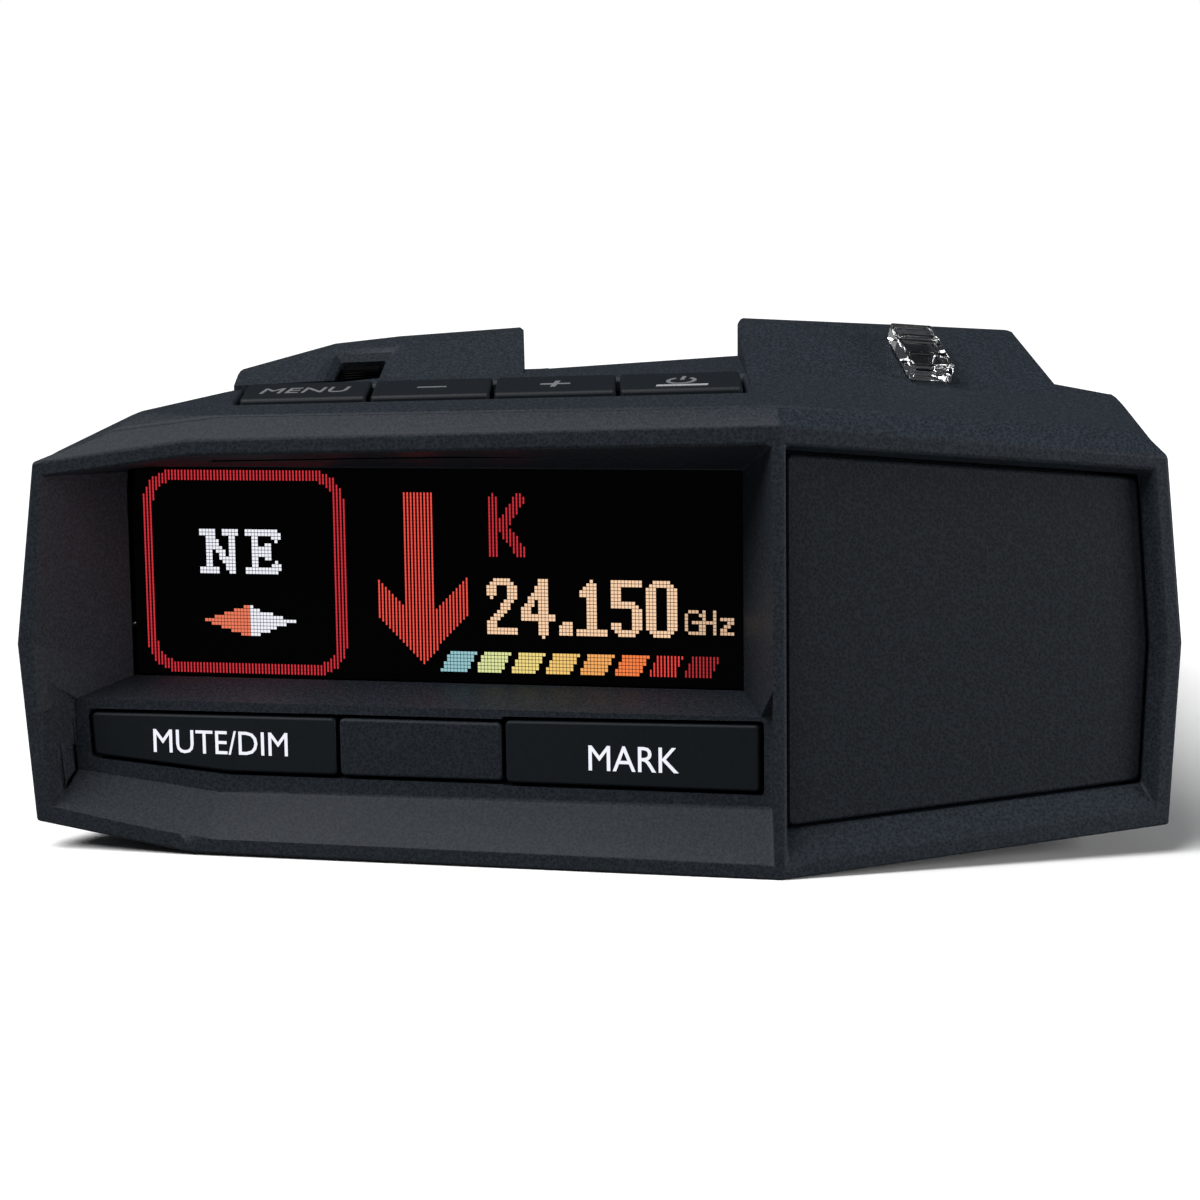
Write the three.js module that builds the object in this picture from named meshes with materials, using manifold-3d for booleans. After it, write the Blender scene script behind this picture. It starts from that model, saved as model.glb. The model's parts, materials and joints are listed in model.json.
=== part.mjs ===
// Windshield radar detector. Millimetres, +Z up, display end towards -Y, road end towards +Y.
// The origin is under the middle of the bounding box, on the plane that the flat underside rests on.
import * as THREE from "three";
import { ConvexGeometry } from "three/addons/geometries/ConvexGeometry.js";
import { mergeVertices } from "three/addons/utils/BufferGeometryUtils.js";
import Module from "manifold-3d";

const wasm = await Module();
wasm.setup();

// ---- Driving dimensions -------------------------------------------------------------------------

const faceWidth = 88;
const bodyLength = 115;
const faceHeight = 33; // the front ridge at the crease, above the resting plane
const creaseX = 13.8; // where the display side and the side panel of the face meet
const faceAngle = THREE.MathUtils.degToRad(13); // each side of the face turns back by this much
const waistHeight = 16; // widest line of the case, where its two shells part
const wall = 2;
const clearance = 0.3; // between pieces that fit into each other

const bandDepth = 1.6; // bevelled band along the front edge of the top
const bandRise = 1.25;
const stripWidth = 1.3; // flat strip round the face
const deckSlope = Math.tan(THREE.MathUtils.degToRad(9));
const deckFallLeft = 0.0185; // the deck falls from its ridge to each side, per millimetre
const deckFallRight = 0.092;

const displayWidth = 48.2;
const displayHeight = 16.1;
const displayBottom = 12.7;
const displayFromCrease = 4.7;
const displayDepth = 8.6; // how far the display opening lies behind the face

const barDepth = 3.4; // the key bar lies this far behind the face
const barBottom = 4.5;
const barTop = 11.4;
const frontKeyHeight = 5;
const muteKeyWidth = 20.5;
const blankWidth = 13.1;
const markKeyWidth = 19.8;
const frontKeyTravel = 0.5;

const panelDepth = 1.4; // the side panel lies this far behind the face
const panelThickness = 1.5;

const topKeyPitch = 9.48;
const menuKeyExtra = 0.9; // the first key is this much wider than the others
const topKeyLength = 6.4; // front to back
const topKeyRowRight = 11.9; // right end of the key row
const topKeyRowFront = 7.1; // from the crease back to the key row, at its right end
const topKeyRowSkew = 0.203; // how far the row runs back, per millimetre to the left
const topKeyProud = 0.3;
const topKeyTravel = 0.45;
const deckWall = 1.4;

const channelWidth = 16.7; // bracket channel between the two humps
const channelLeft = -4.9;
const channelFloor = 33;
const channelFlareLeft = 0.042; // each wall of the channel turns outwards by this much per millimetre
const channelFlareRight = 0.05;
const roofHeight = 39.9;

const boardThickness = 1.6;
const boardTop = 9.6;
const screwShank = 2.6;
const screwHead = 5;

// ---- Frame values worked out from the dimensions above -------------------------------------------

const faceLeft = -faceWidth / 2;
const faceRight = faceWidth / 2;
const creaseY = -bodyLength / 2;
const roadEnd = bodyLength / 2;
const channelRight = channelLeft + channelWidth;
const bodyLeft = faceLeft + 7.5;
const bodyRight = faceRight - 0.5;
const bodyMiddle = (bodyLeft + bodyRight) / 2;
const sideSlope = Math.tan(faceAngle);

const faceY = (x) => creaseY + Math.abs(x - creaseX) * sideSlope;

function deckHeight(x, y) {
  const fall = x < creaseX ? deckFallLeft : deckFallRight;
  const along = y - faceY(x) - bandDepth;
  return faceHeight + bandRise - Math.abs(x - creaseX) * fall + along * deckSlope;
}

// ---- Solids --------------------------------------------------------------------------------------

function toSolid(geometry) {
  const bare = new THREE.BufferGeometry();
  bare.setAttribute("position", geometry.getAttribute("position"));
  bare.setIndex(geometry.index);
  const merged = mergeVertices(bare, 1e-4);
  return new wasm.Manifold(
    new wasm.Mesh({
      numProp: 3,
      vertProperties: merged.getAttribute("position").array,
      triVerts: new Uint32Array(merged.index.array),
    }),
  );
}

function toGeometry(solid) {
  const made = solid.getMesh();
  const geometry = new THREE.BufferGeometry();
  geometry.setAttribute("position", new THREE.BufferAttribute(made.vertProperties, 3));
  geometry.setIndex(new THREE.BufferAttribute(made.triVerts, 1));
  geometry.computeVertexNormals();
  return geometry;
}

const join = (...pieces) => toGeometry(pieces.map(toSolid).reduce((a, b) => a.add(b)));
function cut(piece, ...tools) {
  return toGeometry(tools.map(toSolid).reduce((a, b) => a.subtract(b), toSolid(piece)));
}
const common = (a, b) => toGeometry(toSolid(a).intersect(toSolid(b)));

function box(x0, x1, y0, y1, z0, z1) {
  const geometry = new THREE.BoxGeometry(x1 - x0, y1 - y0, z1 - z0);
  return geometry.translate((x0 + x1) / 2, (y0 + y1) / 2, (z0 + z1) / 2);
}

const hull = (points) => new ConvexGeometry(points.map((p) => new THREE.Vector3(...p)));

// Neighbouring rings are joined by their hulls, so each ring has to be convex.
const loft = (...rings) => join(...rings.slice(1).map((ring, i) => hull([...rings[i], ...ring])));

function roundedShape(points, radius) {
  const shape = new THREE.Shape();
  points.forEach((corner, i) => {
    const here = new THREE.Vector2(...corner);
    const before = new THREE.Vector2(...points.at(i - 1)).sub(here).setLength(radius).add(here);
    const after = new THREE.Vector2(...points[(i + 1) % points.length]).sub(here).setLength(radius).add(here);
    if (i === 0) shape.moveTo(before.x, before.y);
    else shape.lineTo(before.x, before.y);
    shape.quadraticCurveTo(here.x, here.y, after.x, after.y);
  });
  shape.closePath();
  return shape;
}

// A plate whose outline stands upright in x and z, between two depths along y.
function slab(points, radius, y0, y1) {
  const corners = points.map((p) => new THREE.Vector2(...p));
  const shape = radius ? roundedShape(points, radius) : new THREE.Shape(corners);
  const geometry = new THREE.ExtrudeGeometry(
    shape,
    { depth: y1 - y0, bevelEnabled: false, curveSegments: 4 },
  );
  return geometry.rotateX(Math.PI / 2).translate(0, y1, 0);
}

// A plate whose outline lies flat in x and y, between two heights.
function plate(points, radius, z0, z1) {
  const corners = points.map((p) => new THREE.Vector2(...p));
  const shape = radius ? roundedShape(points, radius) : new THREE.Shape(corners);
  const geometry = new THREE.ExtrudeGeometry(
    shape,
    { depth: z1 - z0, bevelEnabled: false, curveSegments: 4 },
  );
  return geometry.translate(0, 0, z0);
}

function upright(radius, x, y, z0, z1, segments = 24) {
  const geometry = new THREE.CylinderGeometry(radius, radius, z1 - z0, segments);
  return geometry.rotateX(Math.PI / 2).translate(x, y, (z0 + z1) / 2);
}

function sideways(radius, y, z, x0, x1, segments = 24) {
  const geometry = new THREE.CylinderGeometry(radius, radius, x1 - x0, segments);
  return geometry.rotateZ(Math.PI / 2).translate((x0 + x1) / 2, y, z);
}

const rectangle = (x0, x1, z0, z1) => [
  [x0, z0],
  [x1, z0],
  [x1, z1],
  [x0, z1],
];

// ---- Groups and materials ------------------------------------------------------------------------

const detector = new THREE.Group();
detector.name = "radar_detector";

// Each side of the face has its own frame: x along the face, y into the case, z up, from the crease.
const displaySide = new THREE.Group();
displaySide.position.set(creaseX, creaseY, 0);
displaySide.rotation.z = -faceAngle;
const panelSide = new THREE.Group();
panelSide.position.set(creaseX, creaseY, 0);
panelSide.rotation.z = faceAngle;
detector.add(displaySide, panelSide);
detector.updateMatrixWorld(true);

const onDisplaySide = (geometry) => geometry.clone().applyMatrix4(displaySide.matrixWorld);
const onPanelSide = (geometry) => geometry.clone().applyMatrix4(panelSide.matrixWorld);

const finish = (color, roughness, metalness = 0, extra = {}) => ({ color, roughness, metalness, ...extra });
const casePlastic = finish(0x1d1e20, 0.72);
const keyPlastic = finish(0x161719, 0.5);
const smokedPlastic = finish(0x08080a, 0.12);
const clearPlastic = finish(0xd9dee2, 0.08, 0, { transparent: true, opacity: 0.5 });
const glass = finish(0x050506, 0.05);
const circuitBoard = finish(0x0f4a2c, 0.55);
const bareMetal = finish(0xb7babd, 0.35, 1);
const tinnedSteel = finish(0xa3a7aa, 0.3, 1);
const blackSteel = finish(0x26282a, 0.4, 0.9);
const ceramic = finish(0xcbb98a, 0.5);
const paperCone = finish(0x2b2b2c, 0.85);
const labelFilm = finish(0x9a9c9e, 0.45);

function add(name, geometry, look, parent = detector) {
  const mesh = new THREE.Mesh(geometry, new THREE.MeshStandardMaterial(look));
  mesh.name = name;
  parent.add(mesh);
  return mesh;
}

// ---- Face outline --------------------------------------------------------------------------------

const atFace = (points, depth) => points.map(([x, z]) => [x, faceY(x) + depth, z]);

const leftBottom = [
  [creaseX, 0],
  [faceLeft + 13.3, 0.2],
  [faceLeft + 1, 2.2],
  [faceLeft, waistHeight],
];
const rightBottom = [
  [creaseX, 0],
  [faceRight - 0.8, 2.3],
  [faceRight, waistHeight],
];
const leftTop = [
  [faceLeft + 1.8, faceHeight - 3],
  [faceLeft + 14.2, faceHeight - 1.2],
  [creaseX, faceHeight],
];
const rightTop = [
  [faceRight - 1.3, faceHeight - 3.1],
  [creaseX, faceHeight],
];
// The top edge behind the bevelled band.
const leftBand = [
  [faceLeft + 1.8, faceHeight - 3],
  [faceLeft + 8, faceHeight - 0.6],
  [faceLeft + 16.5, faceHeight + 0.5],
  [creaseX, faceHeight + bandRise],
];
const rightBand = [
  [faceRight - 1.3, faceHeight - 3.1],
  [faceRight - 3, faceHeight - 1.3],
  [creaseX, faceHeight + bandRise],
];

// Lengths along the display side run left from the crease, so they are negative there.
const alongDisplay = (x) => (x - creaseX) / Math.cos(faceAngle);
const displayOuterLeft = alongDisplay(faceLeft);
const panelOuterRight = (faceRight - creaseX) / Math.cos(faceAngle);
const displayRight = -displayFromCrease;
const displayLeft = displayRight - displayWidth;
const displayTop = displayBottom + displayHeight;

// The edge that the funnel and the chin start from, inside the flat strip.
const creaseLip = 0.5;
const stripTopCrease = faceHeight - stripWidth - 0.1;
const funnelMouth = [
  [-creaseLip, stripTopCrease],
  [displayOuterLeft + 14.7, faceHeight - 2.4],
  [displayOuterLeft + 2.7, faceHeight - 4.1],
  [displayOuterLeft + stripWidth, waistHeight],
];
const chinMouth = [
  [displayOuterLeft + 2.4, 3.3],
  [displayOuterLeft + 15.5, 1.25],
  [-creaseLip, 1.1],
];
const panelMouth = [
  [creaseLip, stripTopCrease],
  [panelOuterRight - 2.4, faceHeight - 4],
  [panelOuterRight - stripWidth, waistHeight],
  [panelOuterRight - 1.9, 3.6],
  [creaseLip, 1.1],
];
const panelOutline = [
  [0.6, faceHeight - 1.9],
  [panelOuterRight - 2.9, faceHeight - 4.5],
  [panelOuterRight - 1.9, waistHeight],
  [panelOuterRight - 2.4, 5.3],
  [0.6, 3.4],
];

const standing = (points, depth) => points.map(([x, z]) => [x, depth, z]);
const ahead = -1; // the hollow of the case starts this far in front of its open end
const lead = -0.1; // recesses start this far in front of the face, so no skin is left over them

// ---- Case shells ---------------------------------------------------------------------------------

const collarDepth = bandDepth + clearance;
const shoulderY = creaseY + 20.5; // where the wing of the face and the deck end
const waistStart = creaseY + 27.5;
const noseStart = roadEnd - 23.5;
const shoulder = [
  [bodyLeft + 3, 0],
  [bodyLeft - 2.8, 2.5],
  [bodyLeft - 4, waistHeight],
  [bodyLeft - 2.5, 29.5],
  [bodyLeft + 8.5, deckHeight(bodyLeft + 8.5, shoulderY)],
  [creaseX, deckHeight(creaseX, shoulderY)],
  [bodyRight - 2.1, deckHeight(bodyRight - 2.1, shoulderY)],
  [bodyRight - 0.5, 29],
  [bodyRight, waistHeight],
  [bodyRight - 1, 3],
  [bodyRight - 5.5, 0],
].map(([x, z]) => [x, shoulderY, z]);
const bodyRing = (y) =>
  [
    [bodyLeft + 5.5, 0],
    [bodyLeft + 1, 2.5],
    [bodyLeft, waistHeight],
    [bodyLeft + 1.6, 29.5],
    [bodyLeft + 6.5, channelFloor + 0.3],
    [bodyRight - 6, channelFloor + 0.3],
    [bodyRight - 1.6, 29.5],
    [bodyRight, waistHeight],
    [bodyRight - 1, 2.5],
    [bodyRight - 5.5, 0],
  ].map(([x, z]) => [x, y, z]);
const noseRing = [
  [bodyLeft + 10, 4],
  [bodyLeft + 5, 7.5],
  [bodyLeft + 3.5, 15],
  [bodyLeft + 6.5, 24],
  [bodyLeft + 12, 26.5],
  [bodyRight - 12, 26.5],
  [bodyRight - 6.5, 24],
  [bodyRight - 3.5, 15],
  [bodyRight - 5, 7.5],
  [bodyRight - 10, 4],
].map(([x, z]) => [x, roadEnd, z]);
const collar = [
  ...atFace([...leftBottom, ...rightBottom, ...leftBand, ...rightBand], collarDepth),
];
const wingCorner = [faceLeft + 9.7, creaseY + 14.9];
const wing = [[...wingCorner, deckHeight(...wingCorner)]];

function inset(points, amount, along = 0) {
  const xs = points.map((p) => p[0]);
  const zs = points.map((p) => p[2]);
  const middleX = (Math.min(...xs) + Math.max(...xs)) / 2;
  const middleZ = (Math.min(...zs) + Math.max(...zs)) / 2;
  const scaleX = 1 - (2 * amount) / (Math.max(...xs) - Math.min(...xs));
  const scaleZ = 1 - (2 * amount) / (Math.max(...zs) - Math.min(...zs));
  return points.map(([x, y, z]) => [
    middleX + (x - middleX) * scaleX,
    y + along,
    middleZ + (z - middleZ) * scaleZ,
  ]);
}

// The two humps beside the bracket channel, front slope to road end.
const leftHumpOuter = bodyLeft + 8.5;
const leftHumpBend = leftHumpOuter + 7.5;
const rightHumpOuter = bodyRight - 9.4;
const rightHumpFoot = bodyRight - 6.6;
const onDeck = (x, y) => [x, y, deckHeight(x, y)];
const humpBottom = 28;
const roofFall = 1.3; // the roof falls this much from the slopes to the nose
const leftHumpFront = [
  onDeck(leftHumpOuter, creaseY + 22.1),
  onDeck(channelLeft, creaseY + 18.9),
  [leftHumpOuter, creaseY + 22.1, humpBottom],
  [channelLeft, creaseY + 18.9, humpBottom],
  [leftHumpOuter, creaseY + 24.9, roofHeight - 3.6],
  [leftHumpBend, creaseY + 27.8, roofHeight - 1.65],
  [channelLeft, creaseY + 26.4, roofHeight - 0.7],
];
const leftHumpBack = [
  [leftHumpOuter, noseStart, roofHeight - 3.6 - roofFall],
  [leftHumpBend, noseStart, roofHeight - 1.65 - roofFall],
  [channelLeft, noseStart, roofHeight - 0.7 - roofFall],
  [leftHumpOuter, noseStart, humpBottom],
  [channelLeft, noseStart, humpBottom],
  [leftHumpOuter + 1, roadEnd - 5, 25],
  [leftHumpBend, roadEnd - 5, 28.3],
  [channelLeft, roadEnd - 5, 28.6],
];
const guideFoot = [channelRight + 0.4, creaseY + 12];
const rightHumpFront = [
  onDeck(...guideFoot),
  onDeck(rightHumpFoot, creaseY + 17.2),
  [...guideFoot, humpBottom],
  [rightHumpFoot, creaseY + 17.2, humpBottom],
  [channelRight, creaseY + 21, roofHeight],
  [rightHumpOuter, creaseY + 27.8, roofHeight - 1.25],
  [rightHumpFoot + 0.7, creaseY + 27.8, humpBottom],
];
const rightHumpBack = [
  [channelRight, noseStart, roofHeight - roofFall],
  [rightHumpOuter, noseStart, roofHeight - 1.25 - roofFall],
  [rightHumpFoot, noseStart, channelFloor],
  [channelRight, noseStart, humpBottom],
  [rightHumpFoot, noseStart, humpBottom],
  [channelRight, roadEnd - 5, 28.6],
  [rightHumpOuter, roadEnd - 5, 28.2],
];

// The hollow of a hump runs along its roof, between the front slope and the slope of the nose.
const humpHollow = (points) =>
  hull(inset(points, wall).map(([x, y, z]) => [
    x,
    THREE.MathUtils.clamp(y, waistStart + 1, noseStart - 1),
    z - 0.4,
  ]));

const caseOuter = join(
  loft([...collar, ...wing], shoulder, bodyRing(waistStart), bodyRing(noseStart), noseRing),
  hull([...leftHumpFront, ...leftHumpBack]),
  hull([...rightHumpFront, ...rightHumpBack]),
);

const caseInner = join(
  loft(
    inset(collar, wall, ahead - collarDepth),
    inset(shoulder, wall),
    inset(bodyRing(waistStart), wall),
    inset(bodyRing(noseStart), wall),
    inset(noseRing, wall, -wall),
  ),
  humpHollow([...leftHumpFront, ...leftHumpBack]),
  humpHollow([...rightHumpFront, ...rightHumpBack]),
);

// The channel is straight as far as the ridges of the humps, then opens towards the road end.
const channelStart = shoulderY + 0.3;
const flareStart = creaseY + 21;
const flaredEnd = roadEnd + 1;
const wallLine = (margin, y) => [
  channelLeft - margin - Math.max(0, y - flareStart) * channelFlareLeft,
  channelRight + margin + Math.max(0, y - flareStart) * channelFlareRight,
];

// A block as wide as the channel, with this much more on each side, that follows its walls.
function alongChannel(margin, y0, y1, z0, z1) {
  const stations = [y0, flareStart, y1].filter((y) => y >= y0);
  const rings = stations.map((y) => {
    const [left, right] = wallLine(margin, y);
    return rectangle(left, right, z0, z1).map(([x, z]) => [x, y, z]);
  });
  return loft(...rings);
}
const channelCut = alongChannel(0, channelStart, flaredEnd, channelFloor, roofHeight + 5);

// ---- Top keys ------------------------------------------------------------------------------------

const rowFront = (x) => creaseY + topKeyRowFront + (topKeyRowRight - x) * topKeyRowSkew;
const topKeyNames = ["power", "volume_up", "volume_down", "menu"];
const topKeySpans = topKeyNames.map((_, i) => {
  const right = topKeyRowRight - i * topKeyPitch;
  const left = right - topKeyPitch - (i === topKeyNames.length - 1 ? menuKeyExtra : 0);
  return [left, right];
});
const topKeyRowLeft = topKeySpans.at(-1)[0];

// A block under a stretch of the deck: its top and bottom follow the deck at the given offsets.
function deckBlock(x0, x1, front, back, bottom, top) {
  const points = [];
  for (const x of [x0, x1])
    for (const y of [rowFront(x) + front, rowFront(x) + back])
      for (const offset of [bottom, top]) points.push([x, y, deckHeight(x, y) + offset]);
  return hull(points);
}

const keyRowCut = deckBlock(topKeyRowLeft, topKeyRowRight, 0, topKeyLength, -8, 3);
const flangeReach = 0.7;
const flangeTop = -deckWall - clearance;
const flangeThickness = 0.5;
const keyChamberBottom = -4.4; // under the deck, down to the display
const keyChamberCut = deckBlock(
  topKeyRowLeft - flangeReach - clearance,
  topKeyRowRight + flangeReach + clearance,
  -flangeReach - clearance,
  topKeyLength + flangeReach + clearance,
  keyChamberBottom,
  -deckWall,
);

topKeyNames.forEach((name, i) => {
  const [left, right] = topKeySpans[i];
  const half = clearance / 2;
  const x0 = left + (i === topKeyNames.length - 1 ? clearance : half);
  const x1 = right - (i === 0 ? clearance : half);
  const cap = deckBlock(
    x0,
    x1,
    clearance,
    topKeyLength - clearance,
    flangeTop - flangeThickness,
    topKeyProud,
  );
  const flange = deckBlock(
    x0,
    x1,
    -flangeReach,
    topKeyLength + flangeReach,
    flangeTop - flangeThickness,
    flangeTop,
  );
  add(`${name}_button`, join(cap, flange), keyPlastic);

  const middleX = (x0 + x1) / 2;
  const domeTop = flangeTop - flangeThickness - topKeyTravel - clearance;
  const domeReach = 2;
  const dome = deckBlock(
    middleX - domeReach,
    middleX + domeReach,
    topKeyLength / 2 - domeReach,
    topKeyLength / 2 + domeReach,
    domeTop - 0.35,
    domeTop,
  );
  add(`${name}_dome`, dome, tinnedSteel);
});

const keyBoardTop = flangeTop - flangeThickness - topKeyTravel - clearance - 0.35 - 0.15;
const topKeyBoard = deckBlock(
  topKeyRowLeft + 0.5,
  topKeyRowRight - 0.5,
  0.9,
  topKeyLength + 0.6,
  keyBoardTop - 0.6,
  keyBoardTop,
);
add("top_key_board", topKeyBoard, circuitBoard);

// ---- Front bezel ---------------------------------------------------------------------------------

const shelfSlope = 0.24; // the shelf under the display rises this much per millimetre of depth
const shelfAtFace = barTop - barDepth * shelfSlope;
const keyBarLeft = displayOuterLeft + 2.8;
const keyBarRight = -1.2;
const displayMargin = 0.5; // the window and the display reach this far past the opening
const displayOpening = rectangle(displayLeft, displayRight, displayBottom, displayTop);

const funnelCut = hull([
  ...standing(
    [...funnelMouth, [displayOuterLeft + stripWidth + 0.2, shelfAtFace], [-creaseLip, shelfAtFace]],
    lead,
  ),
  ...standing(displayOpening, displayDepth + 1),
]);
const barCut = hull([
  ...standing([...chinMouth, [displayOuterLeft + 1.6, waistHeight - 2], [-creaseLip, waistHeight - 2]], lead),
  ...standing(
    [
      [keyBarLeft, barTop - 0.4],
      [keyBarLeft + 0.6, barTop],
      [keyBarRight, barTop],
      [keyBarRight, barBottom],
      [displayOuterLeft + 14.6, barBottom - 0.2],
      [keyBarLeft + 0.2, barBottom + 1.2],
    ],
    barDepth,
  ),
]);
const panelCut = hull([
  ...standing(panelMouth, lead),
  ...standing(panelOutline, panelDepth),
]);

const collarBlock = join(
  hull([...atFace([...leftBottom, ...leftTop], 0), ...atFace([...leftBottom, ...leftBand], bandDepth)]),
  hull([...atFace([...rightBottom, ...rightTop], 0), ...atFace([...rightBottom, ...rightBand], bandDepth)]),
);

// The part of the bezel that reaches into the case, measured in from the outline of the face.
const innerReach = 1.5;
const displayRim = 1.5;
const ceiling = 0.45; // wall over the display opening, thin because the keys sit above it
const displayBlock = (reach, side, top, depth) =>
  hull([
    ...standing(
      [
        [displayOuterLeft + reach, waistHeight],
        [displayOuterLeft + reach + 1.8, faceHeight - reach - 2.4],
        [displayOuterLeft + 14.2, faceHeight - reach - 0.5],
        [1, faceHeight - reach + 0.5],
        [1, reach],
        [displayOuterLeft + 14.5, reach + 0.2],
        [displayOuterLeft + reach + 1.2, reach + 2],
      ],
      bandDepth - 0.2,
    ),
    ...standing(
      [
        [displayLeft - side, displayTop + top],
        [displayRight + side, displayTop + top],
        [displayRight + side, reach + 0.6],
        [displayOuterLeft + 14.5, reach + 0.6],
        [displayLeft - side, reach + 2],
      ],
      depth,
    ),
  ]);
const ledge = 1.2;
const panelBack = panelDepth + panelThickness + clearance;
const panelBlock = (reach, depth) =>
  slab(
    [
      [-1, reach],
      [panelOuterRight - reach - 0.8, reach + 2.2],
      [panelOuterRight - reach, waistHeight],
      [panelOuterRight - reach - 1.4, faceHeight - reach - 2.6],
      [-1, faceHeight - reach + 0.5],
    ],
    0,
    bandDepth - 0.2,
    depth,
  );

const shrink = (points, amount) => {
  const middleX = points.reduce((sum, p) => sum + p[0], 0) / points.length;
  const middleZ = points.reduce((sum, p) => sum + p[1], 0) / points.length;
  const halfX = Math.max(...points.map((p) => Math.abs(p[0] - middleX)));
  const halfZ = Math.max(...points.map((p) => Math.abs(p[1] - middleZ)));
  return points.map(([x, z]) => [
    middleX + (x - middleX) * (1 - amount / halfX),
    middleZ + (z - middleZ) * (1 - amount / halfZ),
  ]);
};
const panelPocket = slab(panelOutline, 0, panelDepth - 0.2, panelBack);
const radarWindow = slab(shrink(panelOutline, 2.4), 1, panelBack - 1, panelBack + ledge + 3);

// Front keys: pockets through the key bar, with caps, switches and a board behind them.
const pocketTop = barTop - 0.75;
const pocketBottom = pocketTop - frontKeyHeight;
const markRight = -1.8;
const markLeft = markRight - markKeyWidth;
const blankLeft = markLeft - blankWidth;
const muteLeft = blankLeft - muteKeyWidth;
const mutePocket = [
  [muteLeft, pocketTop - 0.1],
  [blankLeft, pocketTop],
  [blankLeft, pocketBottom],
  [blankLeft - 9, pocketBottom],
  [muteLeft + 0.2, pocketBottom + 1],
];
const blankPocket = rectangle(blankLeft, markLeft, pocketBottom, pocketTop);
const markPocket = [
  [markLeft, pocketBottom - 0.1],
  [markRight, pocketBottom - 0.15],
  [markRight, pocketTop + 0.4],
  [markLeft, pocketTop + 0.2],
];
// The three pockets run into each other; the caps leave the gaps between them.
const pocketOverlap = 0.2;
const widened = (outline, left, right) => {
  const middle = outline.reduce((sum, p) => sum + p[0], 0) / outline.length;
  return outline.map(([x, z]) => [x < middle ? x - left : x + right, z]);
};
const barWall = 1.5;
const keyChamber = join(
  slab(
    rectangle(muteLeft - 0.7, markRight + 0.4, pocketBottom - 1, pocketTop + 0.45),
    0,
    barDepth + barWall,
    displayDepth + 4,
  ),
  slab(
    [
      [muteLeft + 2, innerReach + 1.6],
      [markRight, innerReach + 1.2],
      [markRight, pocketBottom],
      [muteLeft + 2, pocketBottom],
    ],
    0,
    barDepth + barWall + 2,
    displayDepth + 4,
  ),
);
const pocketCuts = [
  widened(mutePocket, 0, pocketOverlap),
  widened(blankPocket, pocketOverlap, pocketOverlap),
  widened(markPocket, pocketOverlap, 0),
].map((outline) => slab(outline, 0.35, barDepth - 1, barDepth + barWall + 0.5));

const bezel = cut(
  join(
    collarBlock,
    onDisplaySide(displayBlock(innerReach, displayRim, ceiling, displayDepth)),
    onPanelSide(panelBlock(innerReach, panelBack + ledge)),
  ),
  onDisplaySide(funnelCut),
  onDisplaySide(barCut),
  onPanelSide(panelCut),
  onPanelSide(panelPocket),
  onPanelSide(radarWindow),
  onDisplaySide(keyChamber),
  ...pocketCuts.map(onDisplaySide),
  deckBlock(
    topKeyRowLeft - 2,
    topKeyRowRight + 2,
    -flangeReach - 0.6,
    topKeyLength + 3,
    keyBoardTop - 0.6 - clearance,
    2,
  ),
);
add("front_bezel", bezel, casePlastic);

add(
  "side_radome_panel",
  slab(shrink(panelOutline, clearance), 0.6, panelDepth, panelDepth + panelThickness),
  casePlastic,
  panelSide,
);

// Caps keep the clearance to the bezel and half of it on a side that meets another cap.
function frontKey(name, outline, leftGap, rightGap, moves) {
  const middleZ = (pocketTop + pocketBottom) / 2;
  const capOutline = widened(outline, -leftGap, -rightGap).map(([x, z]) => [
    x,
    z < middleZ ? z + clearance : z - clearance,
  ]);
  const xs = capOutline.map((p) => p[0]);
  const left = Math.min(...xs);
  const right = Math.max(...xs);
  const back = barDepth + barWall + clearance;
  const cap = slab(capOutline, 0.4, barDepth - 0.15, back + 0.6);
  const flange = slab(
    rectangle(left, right, pocketBottom - 0.5, pocketTop - 0.5),
    0,
    back,
    back + 0.6,
  );
  add(name, join(cap, flange), keyPlastic, displaySide);
  if (!moves) return;
  const switchFront = back + 0.6 + frontKeyTravel + clearance;
  const middle = (left + right) / 2;
  const level = (pocketTop + pocketBottom) / 2;
  const body = slab(
    rectangle(middle - 2, middle + 2, level - 1.6, level + 1.6),
    0.4,
    switchFront + 0.25,
    switchFront + 1,
  );
  const button = slab(
    rectangle(middle - 0.9, middle + 0.9, level - 0.8, level + 0.8),
    0.3,
    switchFront,
    switchFront + 0.5,
  );
  add(name.replace("button", "switch"), join(body, button), tinnedSteel, displaySide);
}
frontKey("mute_dim_button", mutePocket, clearance, clearance / 2, true);
frontKey("centre_key_blank", blankPocket, clearance / 2, clearance / 2, false);
frontKey("mark_button", markPocket, clearance / 2, clearance, true);

const frontBoardFront = barDepth + barWall + clearance + 0.6 + frontKeyTravel + clearance + 1 + 0.15;
add(
  "front_key_board",
  slab(
    rectangle(muteLeft + 2.6, markRight - 0.8, innerReach + 2.2, pocketTop - 1),
    0.6,
    frontBoardFront,
    frontBoardFront + 1,
  ),
  circuitBoard,
  displaySide,
);

// ---- Display -------------------------------------------------------------------------------------

const windowFront = displayDepth + clearance;
const windowOutline = rectangle(
  displayLeft - displayMargin,
  displayRight + displayMargin,
  displayBottom - displayMargin,
  displayTop + displayMargin - 0.1,
);
add("display_window", slab(windowOutline, 0.3, windowFront, windowFront + 0.8), smokedPlastic, displaySide);
const oledFront = windowFront + 0.8 + clearance;
add("oled_module", slab(windowOutline, 0.3, oledFront, oledFront + 2), glass, displaySide);
const driverFront = oledFront + 2 + clearance;
add(
  "display_driver_board",
  slab(
    rectangle(displayLeft + 7, displayRight - 4, displayBottom + 0.4, displayTop - 2.5),
    0.8,
    driverFront,
    driverFront + 1.2,
  ),
  circuitBoard,
  displaySide,
);

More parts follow.
